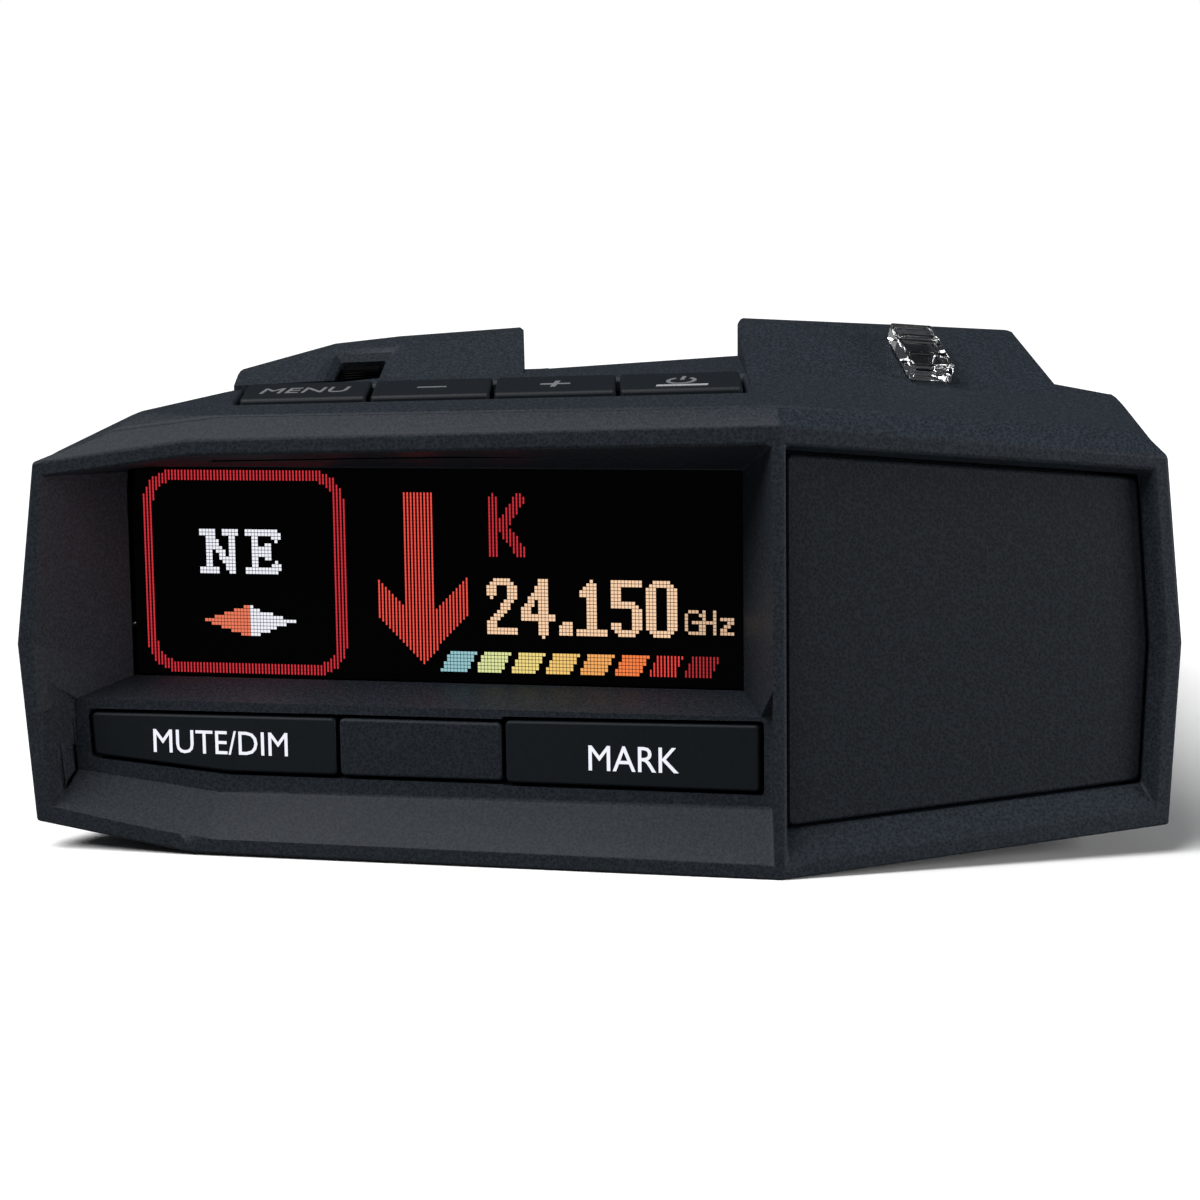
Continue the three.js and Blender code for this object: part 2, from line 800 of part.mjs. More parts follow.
// Room that the shells leave for the bezel and the display, behind the collar.
const panelRoom = panelBlock(innerReach - clearance, panelBack + ledge + clearance);
const displayRoom = join(
  displayBlock(innerReach - clearance, displayRim + clearance, ceiling + clearance, displayDepth),
  slab(
    rectangle(
      displayLeft - displayRim - clearance,
      displayRight + displayRim,
      displayBottom - displayRim,
      displayTop + displayMargin + clearance,
    ),
    0,
    displayDepth - 1,
    driverFront,
  ),
);

// ---- Shells, with everything that opens them -----------------------------------------------------

const screwPlaces = [
  [bodyLeft + 10.5, creaseY + 35],
  [bodyRight - 10.5, creaseY + 35],
  [bodyLeft + 10.5, noseStart - 6],
  [bodyRight - 10.5, noseStart - 6],
];
const boardBottom = boardTop - boardThickness;
const bossRadius = 3.3;
const screwHole = screwShank / 2 + clearance;
const headHole = screwHead / 2 + clearance;
const headSeat = 2.6;
const postTop = 38;

// Slot for the light guide and pocket for the ambient light sensor, each on its hump's front slope.
function slopeFrame(corner, along, up) {
  const origin = new THREE.Vector3(...corner);
  const xAxis = new THREE.Vector3(...along).sub(origin).normalize();
  const upSlope = new THREE.Vector3(...up).sub(origin);
  const zAxis = new THREE.Vector3().crossVectors(xAxis, upSlope).normalize();
  const yAxis = new THREE.Vector3().crossVectors(zAxis, xAxis);
  const group = new THREE.Group();
  group.applyMatrix4(new THREE.Matrix4().makeBasis(xAxis, yAxis, zAxis).setPosition(origin));
  detector.add(group);
  group.updateMatrixWorld(true);
  return group;
}
const rightSlope = slopeFrame(rightHumpFront[0], rightHumpFront[1], rightHumpFront[4]);
const leftSlope = slopeFrame(leftHumpFront[0], leftHumpFront[1], leftHumpFront[6]);
const onRightSlope = (geometry) => geometry.clone().applyMatrix4(rightSlope.matrixWorld);
const onLeftSlope = (geometry) => geometry.clone().applyMatrix4(leftSlope.matrixWorld);

const guideWidth = 3.4;
const guideLength = 7;
const guideHeight = 1.6;
const guideX = 12.9; // from the inner foot of the hump, along its foot
const guideY = 0.9; // up the slope
const guideStem = rectangle(
  guideX + 0.6,
  guideX + guideWidth - 0.6,
  guideY + 1.4,
  guideY + guideLength - 1.4,
);
const guideSlot = rectangle(
  guideX + 0.6 - clearance,
  guideX + guideWidth - 0.6 + clearance,
  guideY + 1.4 - clearance,
  guideY + guideLength - 1.4 + clearance,
);
const sensorWidth = 3.7;
const sensorLength = 3.9;
const sensorX = 7.6;
const sensorY = 1.2;
const sensorPocket = rectangle(sensorX, sensorX + sensorWidth, sensorY, sensorY + sensorLength);
const sensorRim = 0.4;
const chamferReach = 0.75;
const chamferDepth = 0.8;
const chamferOutline = (reach) =>
  rectangle(sensorX - reach, sensorX + sensorWidth + reach, sensorY - reach, sensorY + sensorLength + reach);
const sensorChamfer = hull([
  ...chamferOutline(chamferReach * 1.5).map(([x, y]) => [x, y, chamferDepth / 2]),
  ...chamferOutline(0).map(([x, y]) => [x, y, -chamferDepth]),
]);

const lensLeft = bodyLeft + 14;
const lensRight = bodyRight - 14;
const lensBottom = waistHeight + 1.2;
const lensTop = 24.3;

const wallInside = bodyRight - wall;
const powerJackY = creaseY + 45.5;
const powerJackWidth = 12;
const powerJackHeight = 10;
const audioJackY = powerJackY + 17;
const audioJackWidth = 7;
const usbPortY = audioJackY + 13;
const usbPortWidth = 8;
const jackBase = boardTop + clearance;
const plugOpening = [powerJackY - 4.9, powerJackY + 4.9, jackBase + 1.6, jackBase + 8.4];

const latchX = (channelLeft + channelRight) / 2;
const latchY = creaseY + 60;
const latchWidth = 8;
const latchLength = 11;

const roofUnderChannel = channelFloor - wall;
const channelBed = alongChannel(
  wall,
  channelStart - wall,
  noseStart - 1,
  roofUnderChannel,
  channelFloor + 0.5,
);
const channelWalls = alongChannel(wall, waistStart + 1, noseStart - 1, roofUnderChannel, 36.5);

const hollowCase = join(
  cut(caseOuter, caseInner, keyChamberCut, onDisplaySide(displayRoom), onPanelSide(panelRoom)),
  common(join(channelBed, channelWalls), caseOuter),
);
const openCase = cut(
  hollowCase,
  channelCut,
  keyRowCut,
  onRightSlope(plate(guideSlot, 0, -8, 3)),
  onLeftSlope(plate(sensorPocket, 0.3, -6, 3)),
  onLeftSlope(sensorChamfer),
  slab(rectangle(lensLeft, lensRight, lensBottom, lensTop), 1.2, roadEnd - 6, roadEnd + 3),
  box(wallInside - 6, bodyRight + 3, ...plugOpening),
  sideways(2.3, audioJackY, jackBase + 2.9, wallInside - 6, bodyRight + 3),
  box(wallInside - 6, bodyRight + 3, usbPortY - 4.2, usbPortY + 4.2, jackBase + 0.2, jackBase + 4),
  box(
    latchX - latchWidth / 2 - clearance,
    latchX + latchWidth / 2 + clearance,
    latchY - latchLength / 2 - clearance,
    latchY + latchLength / 2 + clearance,
    roofUnderChannel - 1,
    channelFloor + 3,
  ),
);

const above = (z) => box(-200, 200, -200, 200, z, 200);
const below = (z) => box(-200, 200, -200, 200, -200, z);

const posts = screwPlaces.map(([x, y]) => upright(bossRadius, x, y, boardTop + clearance, postTop, 20));
const upperShell = common(openCase, above(waistHeight + clearance / 2));
const upperHousing = cut(
  join(upperShell, common(join(...posts), caseOuter)),
  ...screwPlaces.map(([x, y]) => upright(screwHole, x, y, 0, 20, 16)),
  channelCut,
);
add("upper_housing", upperHousing, casePlastic);

const speakerX = bodyMiddle - 16;
const speakerY = 2;
const speakerRadius = 14;
const speakerSlots = [-8, -5, -2, 1, 4, 7].map((offset) => {
  const reach = Math.sqrt(10.5 ** 2 - offset ** 2);
  return plate(
    [
      [speakerX - reach, speakerY + offset],
      [speakerX + reach, speakerY + offset],
      [speakerX + reach, speakerY + offset + 1.4],
      [speakerX - reach, speakerY + offset + 1.4],
    ],
    0.6,
    -2,
    5,
  );
});
const bosses = screwPlaces.map(([x, y]) => upright(bossRadius, x, y, 0.4, boardBottom - clearance, 20));
const lowerShell = common(openCase, below(waistHeight - clearance / 2));
const labelX = bodyMiddle + 17;
const labelY = 4;
const labelWidth = 24;
const labelLength = 34;
const labelRecess = 0.5;
const lowerHousing = cut(
  join(lowerShell, ...bosses),
  ...screwPlaces.map(([x, y]) => upright(screwHole, x, y, -2, 20, 16)),
  ...screwPlaces.map(([x, y]) => upright(headHole, x, y, -2, headSeat, 20)),
  ...speakerSlots,
  plate(
    [
      [labelX - labelWidth / 2, labelY - labelLength / 2],
      [labelX + labelWidth / 2, labelY - labelLength / 2],
      [labelX + labelWidth / 2, labelY + labelLength / 2],
      [labelX - labelWidth / 2, labelY + labelLength / 2],
    ],
    1,
    -2,
    labelRecess,
  ),
);
add("lower_housing", lowerHousing, casePlastic);

const labelInset = clearance;
add(
  "rating_label_blank",
  plate(
    [
      [labelX - labelWidth / 2 + labelInset, labelY - labelLength / 2 + labelInset],
      [labelX + labelWidth / 2 - labelInset, labelY - labelLength / 2 + labelInset],
      [labelX + labelWidth / 2 - labelInset, labelY + labelLength / 2 - labelInset],
      [labelX - labelWidth / 2 + labelInset, labelY + labelLength / 2 - labelInset],
    ],
    1,
    0.1,
    labelRecess - 0.15,
  ),
  labelFilm,
);

// ---- Light guide, light sensor and road-end lens --------------------------------------------------

const guideCap = hull([
  [guideX, guideY, clearance / 2],
  [guideX + guideWidth, guideY, clearance / 2],
  [guideX, guideY + guideLength, clearance / 2],
  [guideX + guideWidth, guideY + guideLength, clearance / 2],
  [guideX + 0.15, guideY + 0.5, guideHeight],
  [guideX + guideWidth - 0.15, guideY + 0.5, guideHeight],
  [guideX + 0.15, guideY + guideLength - 0.2, guideHeight],
  [guideX + guideWidth - 0.15, guideY + guideLength - 0.2, guideHeight],
]);
add("laser_light_guide", join(guideCap, plate(guideStem, 0.2, -4.5, 0.5)), clearPlastic, rightSlope);
add(
  "rear_laser_sensor",
  plate(
    rectangle(guideX + 0.2, guideX + guideWidth - 0.2, guideY + 1.2, guideY + guideLength - 1.2),
    0.3,
    -7.4,
    -5.2,
  ),
  glass,
  rightSlope,
);
add(
  "light_sensor_window",
  plate(
    rectangle(
      sensorX + sensorRim,
      sensorX + sensorWidth - sensorRim,
      sensorY + sensorRim,
      sensorY + sensorLength - sensorRim,
    ),
    0.2,
    -1.9,
    -0.8,
  ),
  smokedPlastic,
  leftSlope,
);
add(
  "ambient_light_sensor",
  plate(rectangle(sensorX + 0.8, sensorX + 2.8, sensorY + 0.9, sensorY + 2.9), 0.2, -3.6, -2.4),
  glass,
  leftSlope,
);
add(
  "road_lens",
  slab(
    rectangle(lensLeft + clearance, lensRight - clearance, lensBottom + clearance, lensTop - clearance),
    1,
    roadEnd - 2.6,
    roadEnd - 0.6,
  ),
  smokedPlastic,
);

// ---- Radar and laser receivers ---------------------------------------------------------------------

// A pyramidal horn: mouth at y = 0 facing -y, throat behind it, open at both ends.
function horn(width, height, depth, throatWidth, throatHeight) {
  const skin = 1.2;
  const ring = (w, h, y) => [
    [-w / 2, y, -h / 2],
    [w / 2, y, -h / 2],
    [w / 2, y, h / 2],
    [-w / 2, y, h / 2],
  ];
  const throatDepth = depth - 6;
  const outer = join(
    hull([...ring(width, height, 0), ...ring(throatWidth + 2 * skin, throatHeight + 2 * skin, throatDepth)]),
    hull([
      ...ring(throatWidth + 2 * skin, throatHeight + 2 * skin, throatDepth - 0.1),
      ...ring(throatWidth + 2 * skin, throatHeight + 2 * skin, depth),
    ]),
  );
  return cut(
    outer,
    hull([
      ...ring(width - 2 * skin, height - 2 * skin, -0.01),
      ...ring(throatWidth, throatHeight, throatDepth),
    ]),
    hull([
      ...ring(throatWidth, throatHeight, throatDepth - 1),
      ...ring(throatWidth, throatHeight, depth + 1),
    ]),
  );
}
const hornLevel = 18;
const rearHornDepth = 20;
add(
  "rear_horn_antenna",
  horn(22, 16.4, rearHornDepth, 10, 5).translate(panelOuterRight / 2, panelBack + ledge + 1.4, hornLevel),
  bareMetal,
  panelSide,
);
const frontHornX = bodyMiddle + 14;
const frontHornDepth = 24;
const frontHornMouth = roadEnd - 5.5;
add(
  "front_horn_antenna",
  horn(27, 15, frontHornDepth, 10, 5).rotateZ(Math.PI).translate(frontHornX, frontHornMouth, 17.6),
  bareMetal,
);

const rfFront = creaseY + 33;
const rfBack = frontHornMouth - frontHornDepth - 1;
const rfLeft = frontHornX - 11;
const rfRight = frontHornX + 7;
const rfBoardTop = boardTop + 2.4;
add("rf_board", box(rfLeft, rfRight, rfFront, rfBack, rfBoardTop - 1, rfBoardTop), circuitBoard);
const canWall = 0.6;
const canBottom = rfBoardTop + 0.2;
add(
  "rf_shield_can",
  cut(
    box(rfLeft + 1, rfRight - 1, rfFront + 1, rfBack - 1, canBottom, canBottom + 9),
    box(
      rfLeft + 1 + canWall,
      rfRight - 1 - canWall,
      rfFront + 1 + canWall,
      rfBack - 1 - canWall,
      canBottom - 1,
      canBottom + 9 - canWall,
    ),
  ),
  tinnedSteel,
);

const laserX = bodyLeft + 17;
const laserLevel = 19.4;
const lensProfile = new THREE.EllipseCurve(0, 0, 4.6, 1.9, -Math.PI / 2, Math.PI / 2).getPoints(10);
lensProfile[0].x = 0;
lensProfile.at(-1).x = 0;
add(
  "laser_receiver_lens",
  new THREE.LatheGeometry(lensProfile, 24).translate(laserX, roadEnd - 6, laserLevel),
  clearPlastic,
);
add(
  "laser_receiver_board",
  slab(
    rectangle(laserX - 7, laserX + 7, boardTop + 0.8, laserLevel + 4.8),
    0.8,
    roadEnd - 15.5,
    roadEnd - 14.3,
  ),
  circuitBoard,
);
add(
  "laser_photodiode",
  slab(
    rectangle(laserX - 2.2, laserX + 2.2, laserLevel - 2.2, laserLevel + 2.2),
    0.5,
    roadEnd - 14.1,
    roadEnd - 12,
  ),
  glass,
);

// ---- Main board and what sits on it ----------------------------------------------------------------

const mainBoardFront = creaseY + 30.5;
const mainBoardBack = roadEnd - 8;
const mainBoardOutline = [
  [bodyLeft + 6, mainBoardFront],
  [bodyRight - 6, mainBoardFront],
  [bodyRight - 4.5, creaseY + 40],
  [bodyRight - 4.5, noseStart],
  [bodyRight - 9.5, mainBoardBack],
  [bodyLeft + 9.5, mainBoardBack],
  [bodyLeft + 4.5, noseStart],
  [bodyLeft + 4.5, creaseY + 40],
];
const mainBoard = cut(
  plate(mainBoardOutline, 1, boardBottom, boardTop),
  ...screwPlaces.map(([x, y]) => upright(screwHole, x, y, 0, 20, 16)),
);
add("main_board", mainBoard, circuitBoard);

const chipBase = boardTop + 0.2;
add(
  "gps_antenna",
  plate(
    [
      [bodyLeft + 8, creaseY + 42],
      [bodyLeft + 26, creaseY + 42],
      [bodyLeft + 26, creaseY + 60],
      [bodyLeft + 8, creaseY + 60],
    ],
    1.5,
    chipBase,
    chipBase + 4,
  ),
  ceramic,
);
add(
  "processor_shield",
  box(bodyLeft + 8, bodyLeft + 28, creaseY + 61.5, creaseY + 80, chipBase, chipBase + 2.4),
  tinnedSteel,
);

const speakerBase = wall + 0.6;
const speakerProfile = [
  [0, 1.8],
  [4, 1.6],
  [10.5, 0.7],
  [11.6, 0],
  [speakerRadius, 0],
  [speakerRadius, 1.2],
  [12.4, 2.2],
  [8.5, 2.4],
  [8.5, 4.6],
  [0, 4.6],
].map((p) => new THREE.Vector2(...p));
add(
  "speaker",
  new THREE.LatheGeometry(speakerProfile, 32).rotateX(Math.PI / 2).translate(speakerX, speakerY, speakerBase),
  paperCone,
);

const jackFace = wallInside - 0.9;
const powerJack = cut(
  box(
    jackFace - 12,
    jackFace,
    powerJackY - powerJackWidth / 2,
    powerJackY + powerJackWidth / 2,
    jackBase,
    jackBase + powerJackHeight,
  ),
  box(jackFace - 9.5, jackFace + 1, ...plugOpening),
);
add("power_jack", powerJack, keyPlastic);
const audioJack = cut(
  box(
    jackFace - 11,
    jackFace,
    audioJackY - audioJackWidth / 2,
    audioJackY + audioJackWidth / 2,
    jackBase,
    jackBase + 5.8,
  ),
  sideways(1.8, audioJackY, jackBase + 2.9, jackFace - 9, jackFace + 1, 20),
);
add("audio_jack", audioJack, keyPlastic);
const usbPort = cut(
  box(
    jackFace - 8,
    jackFace,
    usbPortY - usbPortWidth / 2,
    usbPortY + usbPortWidth / 2,
    jackBase,
    jackBase + 3.8,
  ),
  box(
    jackFace - 7,
    jackFace + 1,
    usbPortY - usbPortWidth / 2 + 0.5,
    usbPortY + usbPortWidth / 2 - 0.5,
    jackBase + 0.5,
    jackBase + 3.3,
  ),
);
add("usb_port", usbPort, tinnedSteel);

// ---- Bracket latch ---------------------------------------------------------------------------------

const latchTop = channelFloor + 1.2;
const latchFlangeTop = roofUnderChannel - clearance;
const latchFlange = 0.9;
const springTop = latchFlangeTop - latchFlange - clearance;
const springLength = 5.4;
const springBottom = springTop - springLength;
const latchHead = hull([
  [latchX - latchWidth / 2, latchY - latchLength / 2, latchFlangeTop - 0.4],
  [latchX + latchWidth / 2, latchY - latchLength / 2, latchFlangeTop - 0.4],
  [latchX - latchWidth / 2, latchY + latchLength / 2, latchFlangeTop - 0.4],
  [latchX + latchWidth / 2, latchY + latchLength / 2, latchFlangeTop - 0.4],
  [latchX - latchWidth / 2, latchY - latchLength / 2, latchTop],
  [latchX + latchWidth / 2, latchY - latchLength / 2, latchTop],
  [latchX - latchWidth / 2, latchY, latchTop],
  [latchX + latchWidth / 2, latchY, latchTop],
  [latchX - latchWidth / 2, latchY + latchLength / 2, channelFloor - 0.2],
  [latchX + latchWidth / 2, latchY + latchLength / 2, channelFloor - 0.2],
]);
const flangeGrow = 1;
const latchBase = box(
  latchX - latchWidth / 2 - flangeGrow,
  latchX + latchWidth / 2 + flangeGrow,
  latchY - latchLength / 2 - flangeGrow,
  latchY + latchLength / 2 + flangeGrow,
  latchFlangeTop - latchFlange,
  latchFlangeTop,
);
const springRadius = 2.6;
const springWire = 0.5;
const latchPin = upright(
  springRadius - springWire - 0.4,
  latchX,
  latchY,
  springTop - 2.2,
  latchFlangeTop - 0.5,
  16,
);
add("bracket_latch", join(latchHead, latchBase, latchPin), keyPlastic);

class Helix extends THREE.Curve {
  constructor(radius, height, turns) {
    super();
    Object.assign(this, { radius, height, turns });
  }
  getPoint(t, target = new THREE.Vector3()) {
    const angle = 2 * Math.PI * this.turns * t;
    return target.set(this.radius * Math.cos(angle), this.radius * Math.sin(angle), this.height * t);
  }
}
const springTurns = 4;
const wireSection = new THREE.Shape(
  new THREE.EllipseCurve(0, 0, springWire / 2, springWire / 2, 0, 2 * Math.PI).getPoints(8).slice(0, 8),
);
const springGeometry = new THREE.ExtrudeGeometry(wireSection, {
  steps: springTurns * 12,
  extrudePath: new Helix(springRadius - springWire / 2, springLength - springWire, springTurns),
  bevelEnabled: false,
});
add(
  "latch_spring",
  springGeometry.translate(latchX, latchY, springBottom + springWire / 2),
  tinnedSteel,
);

// The retainer hangs on two ribs under the channel and holds the spring.
const retainerTop = springBottom - clearance;
const retainerReach = latchLength / 2 + flangeGrow + 0.6;
const retainerRib = 1.4;
add(
  "latch_retainer",
  join(
    box(
      latchX - latchWidth / 2,
      latchX + latchWidth / 2,
      latchY - retainerReach - retainerRib,
      latchY + retainerReach + retainerRib,
      retainerTop - 1.4,
      retainerTop,
    ),
    ...[-1, 1].map((side) =>
      box(
        latchX - latchWidth / 2,
        latchX + latchWidth / 2,
        latchY + side * (retainerReach + retainerRib / 2) - retainerRib / 2,
        latchY + side * (retainerReach + retainerRib / 2) + retainerRib / 2,
        retainerTop - 0.5,
        roofUnderChannel - clearance,
      ),
    ),
  ),
  keyPlastic,
);

// ---- Fasteners -------------------------------------------------------------------------------------

const screwProfile = [
  [0, 0.5],
  [1.4, 0.5],
  [screwHead / 2, 1.1],
  [screwHead / 2, headSeat - 0.2],
  [screwShank / 2, headSeat - 0.2],
  [screwShank / 2, 16],
  [0.6, 17.2],
  [0, 17.2],
].map((p) => new THREE.Vector2(...p));
["front_left", "front_right", "road_left", "road_right"].forEach((place, i) => {
  const [x, y] = screwPlaces[i];
  add(
    `case_screw_${place}`,
    new THREE.LatheGeometry(screwProfile, 16).rotateX(Math.PI / 2).translate(x, y, 0),
    blackSteel,
  );
});

export default detector;
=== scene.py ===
"""Windshield radar detector: finished pieces, materials, studio and camera round the CAD frame."""

import json
import math

import bmesh
import bpy
import numpy as np
from bpy.props import FloatProperty, FloatVectorProperty, PointerProperty
from mathutils import Matrix, Vector
from mathutils.bvhtree import BVHTree


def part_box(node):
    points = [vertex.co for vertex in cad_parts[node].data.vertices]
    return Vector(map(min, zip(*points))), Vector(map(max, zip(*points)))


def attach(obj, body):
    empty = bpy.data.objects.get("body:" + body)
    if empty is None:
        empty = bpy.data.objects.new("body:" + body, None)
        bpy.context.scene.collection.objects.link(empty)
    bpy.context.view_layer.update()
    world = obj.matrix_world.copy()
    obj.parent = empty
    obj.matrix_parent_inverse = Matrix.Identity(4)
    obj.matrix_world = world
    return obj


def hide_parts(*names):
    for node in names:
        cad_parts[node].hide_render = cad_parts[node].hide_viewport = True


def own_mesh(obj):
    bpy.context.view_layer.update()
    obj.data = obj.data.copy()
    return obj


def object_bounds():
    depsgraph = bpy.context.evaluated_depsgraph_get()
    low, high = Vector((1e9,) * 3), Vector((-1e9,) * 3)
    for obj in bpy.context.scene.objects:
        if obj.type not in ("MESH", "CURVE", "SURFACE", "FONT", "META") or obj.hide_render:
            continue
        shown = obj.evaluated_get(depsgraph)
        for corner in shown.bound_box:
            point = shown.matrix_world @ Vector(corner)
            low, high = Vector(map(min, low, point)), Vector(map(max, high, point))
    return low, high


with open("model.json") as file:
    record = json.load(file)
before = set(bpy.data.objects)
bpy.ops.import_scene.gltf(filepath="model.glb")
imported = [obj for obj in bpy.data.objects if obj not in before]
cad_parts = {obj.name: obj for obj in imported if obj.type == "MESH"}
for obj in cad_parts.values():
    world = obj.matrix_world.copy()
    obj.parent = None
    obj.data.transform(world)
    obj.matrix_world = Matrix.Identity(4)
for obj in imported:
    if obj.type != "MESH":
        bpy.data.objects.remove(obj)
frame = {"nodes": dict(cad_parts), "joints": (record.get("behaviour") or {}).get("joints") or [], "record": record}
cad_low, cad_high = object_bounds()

bl_info = {
    "name": "Radar detector",
    "version": (1, 0, 0),
    "blender": (4, 5, 0),
    "location": "View3D > Sidebar > Detector",
    "description": "Builds a windshield radar detector round its CAD frame",
    "category": "Object",
}

MM = 0.001

# The display's side of the face: x along it, y into the case, z up, from the crease.
CREASE_X = 13.8 * MM
CREASE_Y = cad_low.y
FACE_ANGLE = math.radians(13)
DISPLAY_SIDE = Matrix.Translation((CREASE_X, CREASE_Y, cad_low.z)) @ Matrix.Rotation(-FACE_ANGLE, 4, "Z")

# The visible area of the display, in the frame of its side of the face.
SCREEN_LEFT = -52.9 * MM
SCREEN_RIGHT = -4.7 * MM
SCREEN_BOTTOM = 12.7 * MM
SCREEN_TOP = 28.8 * MM
SCREEN_DEPTH = 8.9 * MM
COLUMNS = 177
ROWS = 59

# The deck that the top keys lie in: its rise to the road end, its fall from the crease to the left,
# and the height of its ridge behind the bevelled band.
DECK_SLOPE = math.tan(math.radians(9))
DECK_FALL = 0.0185
BAND_DEPTH = 1.6 * MM
DECK_RIDGE = 34.25 * MM
KEY_PROUD = 0.3 * MM
KEY_ROW_SKEW = 0.203


# ---- Sizes and colours that can be changed ---------------------------------------------------------

def colour_property(name, description, default):
    return FloatVectorProperty(
        name=name, description=description, default=default, subtype="COLOR", size=3, min=0.0, max=1.0
    )


def length_property(name, description, default):
    return FloatProperty(
        name=name, description=description, default=default, min=0.0, subtype="DISTANCE", unit="LENGTH"
    )


def share_property(name, description, default):
    return FloatProperty(
        name=name, description=description, default=default, min=0.0, max=1.0, subtype="FACTOR"
    )


def strength_property(name, description, default):
    return FloatProperty(name=name, description=description, default=default, min=0.0)


class CaseSettings(bpy.types.PropertyGroup):
    edge_radius: length_property("Edge width", "Width of the small bevel on the edges of the case", 0.34 * MM)
    plastic: colour_property("Plastic", "Colour of the moulded case", (0.0078, 0.0101, 0.0132))
    roughness: share_property("Roughness", "Roughness of the moulded case", 0.5)
    grain_depth: length_property("Grain depth", "Height of the moulded grain", 0.022 * MM)


class KeySettings(bpy.types.PropertyGroup):
    edge_radius: length_property("Edge width", "Width of the bevel round each key", 0.28 * MM)
    plastic: colour_property("Plastic", "Colour of the keys", (0.006, 0.0085, 0.0112))
    print_colour: colour_property("Print", "Colour of the marks on the top keys", (0.16, 0.165, 0.175))
    light_strength: strength_property("Legend light", "Strength of the lit words on the front keys", 1.0)


class ScreenSettings(bpy.types.PropertyGroup):
    strength: strength_property("Strength", "Strength of the light of the display", 1.0)
    alert: colour_property("Alert", "Colour of the alert outline", (0.66, 0.03, 0.045))
    arrow: colour_property("Arrow", "Colour of the direction arrow", (0.95, 0.085, 0.06))
    reading: colour_property("Reading", "Colour of the frequency reading", (1.0, 0.66, 0.42))


class StageSettings(bpy.types.PropertyGroup):
    lens: FloatProperty(
        name="Lens", description="Focal length of the camera", default=78.0, min=1.0,
        subtype="DISTANCE_CAMERA",
    )
    overhead_strength: strength_property("Overhead", "Strength of the wide light above the object", 4.6)
    fill_power: FloatProperty(
        name="Fill", description="Power of the softbox at the right", default=5.0, min=0.0, subtype="POWER"
    )
    surroundings: strength_property("Surroundings", "Strength of the light from all round", 0.06)


# ---- Materials ---------------------------------------------------------------------------------------

def both_ways(operation):
    """A Math node for an expression, and for its reflected form."""
    def forward(wire, other):
        return wire.math(operation, wire, other)

    def reflected(wire, other):
        return wire.math(operation, other, wire)

    return forward, reflected


class Wire:
    """A node's output that can be used in Python expressions; each operation adds its Math node."""

    def __init__(self, finish, socket):
        self.finish = finish
        self.socket = socket

    def math(self, operation, *values):
        return self.finish.node("ShaderNodeMath", {"operation": operation}, dict(enumerate(values)))

    __add__, __radd__ = both_ways("ADD")
    __sub__, __rsub__ = both_ways("SUBTRACT")
    __mul__, __rmul__ = both_ways("MULTIPLY")
    __truediv__, __rtruediv__ = both_ways("DIVIDE")
    __pow__, __rpow__ = both_ways("POWER")
    __gt__, __lt__ = both_ways("GREATER_THAN")[0], both_ways("LESS_THAN")[0]

    def __abs__(self):
        return self.math("ABSOLUTE", self)

    def clamped(self):
        return self.finish.node("ShaderNodeClamp", {}, {0: self})


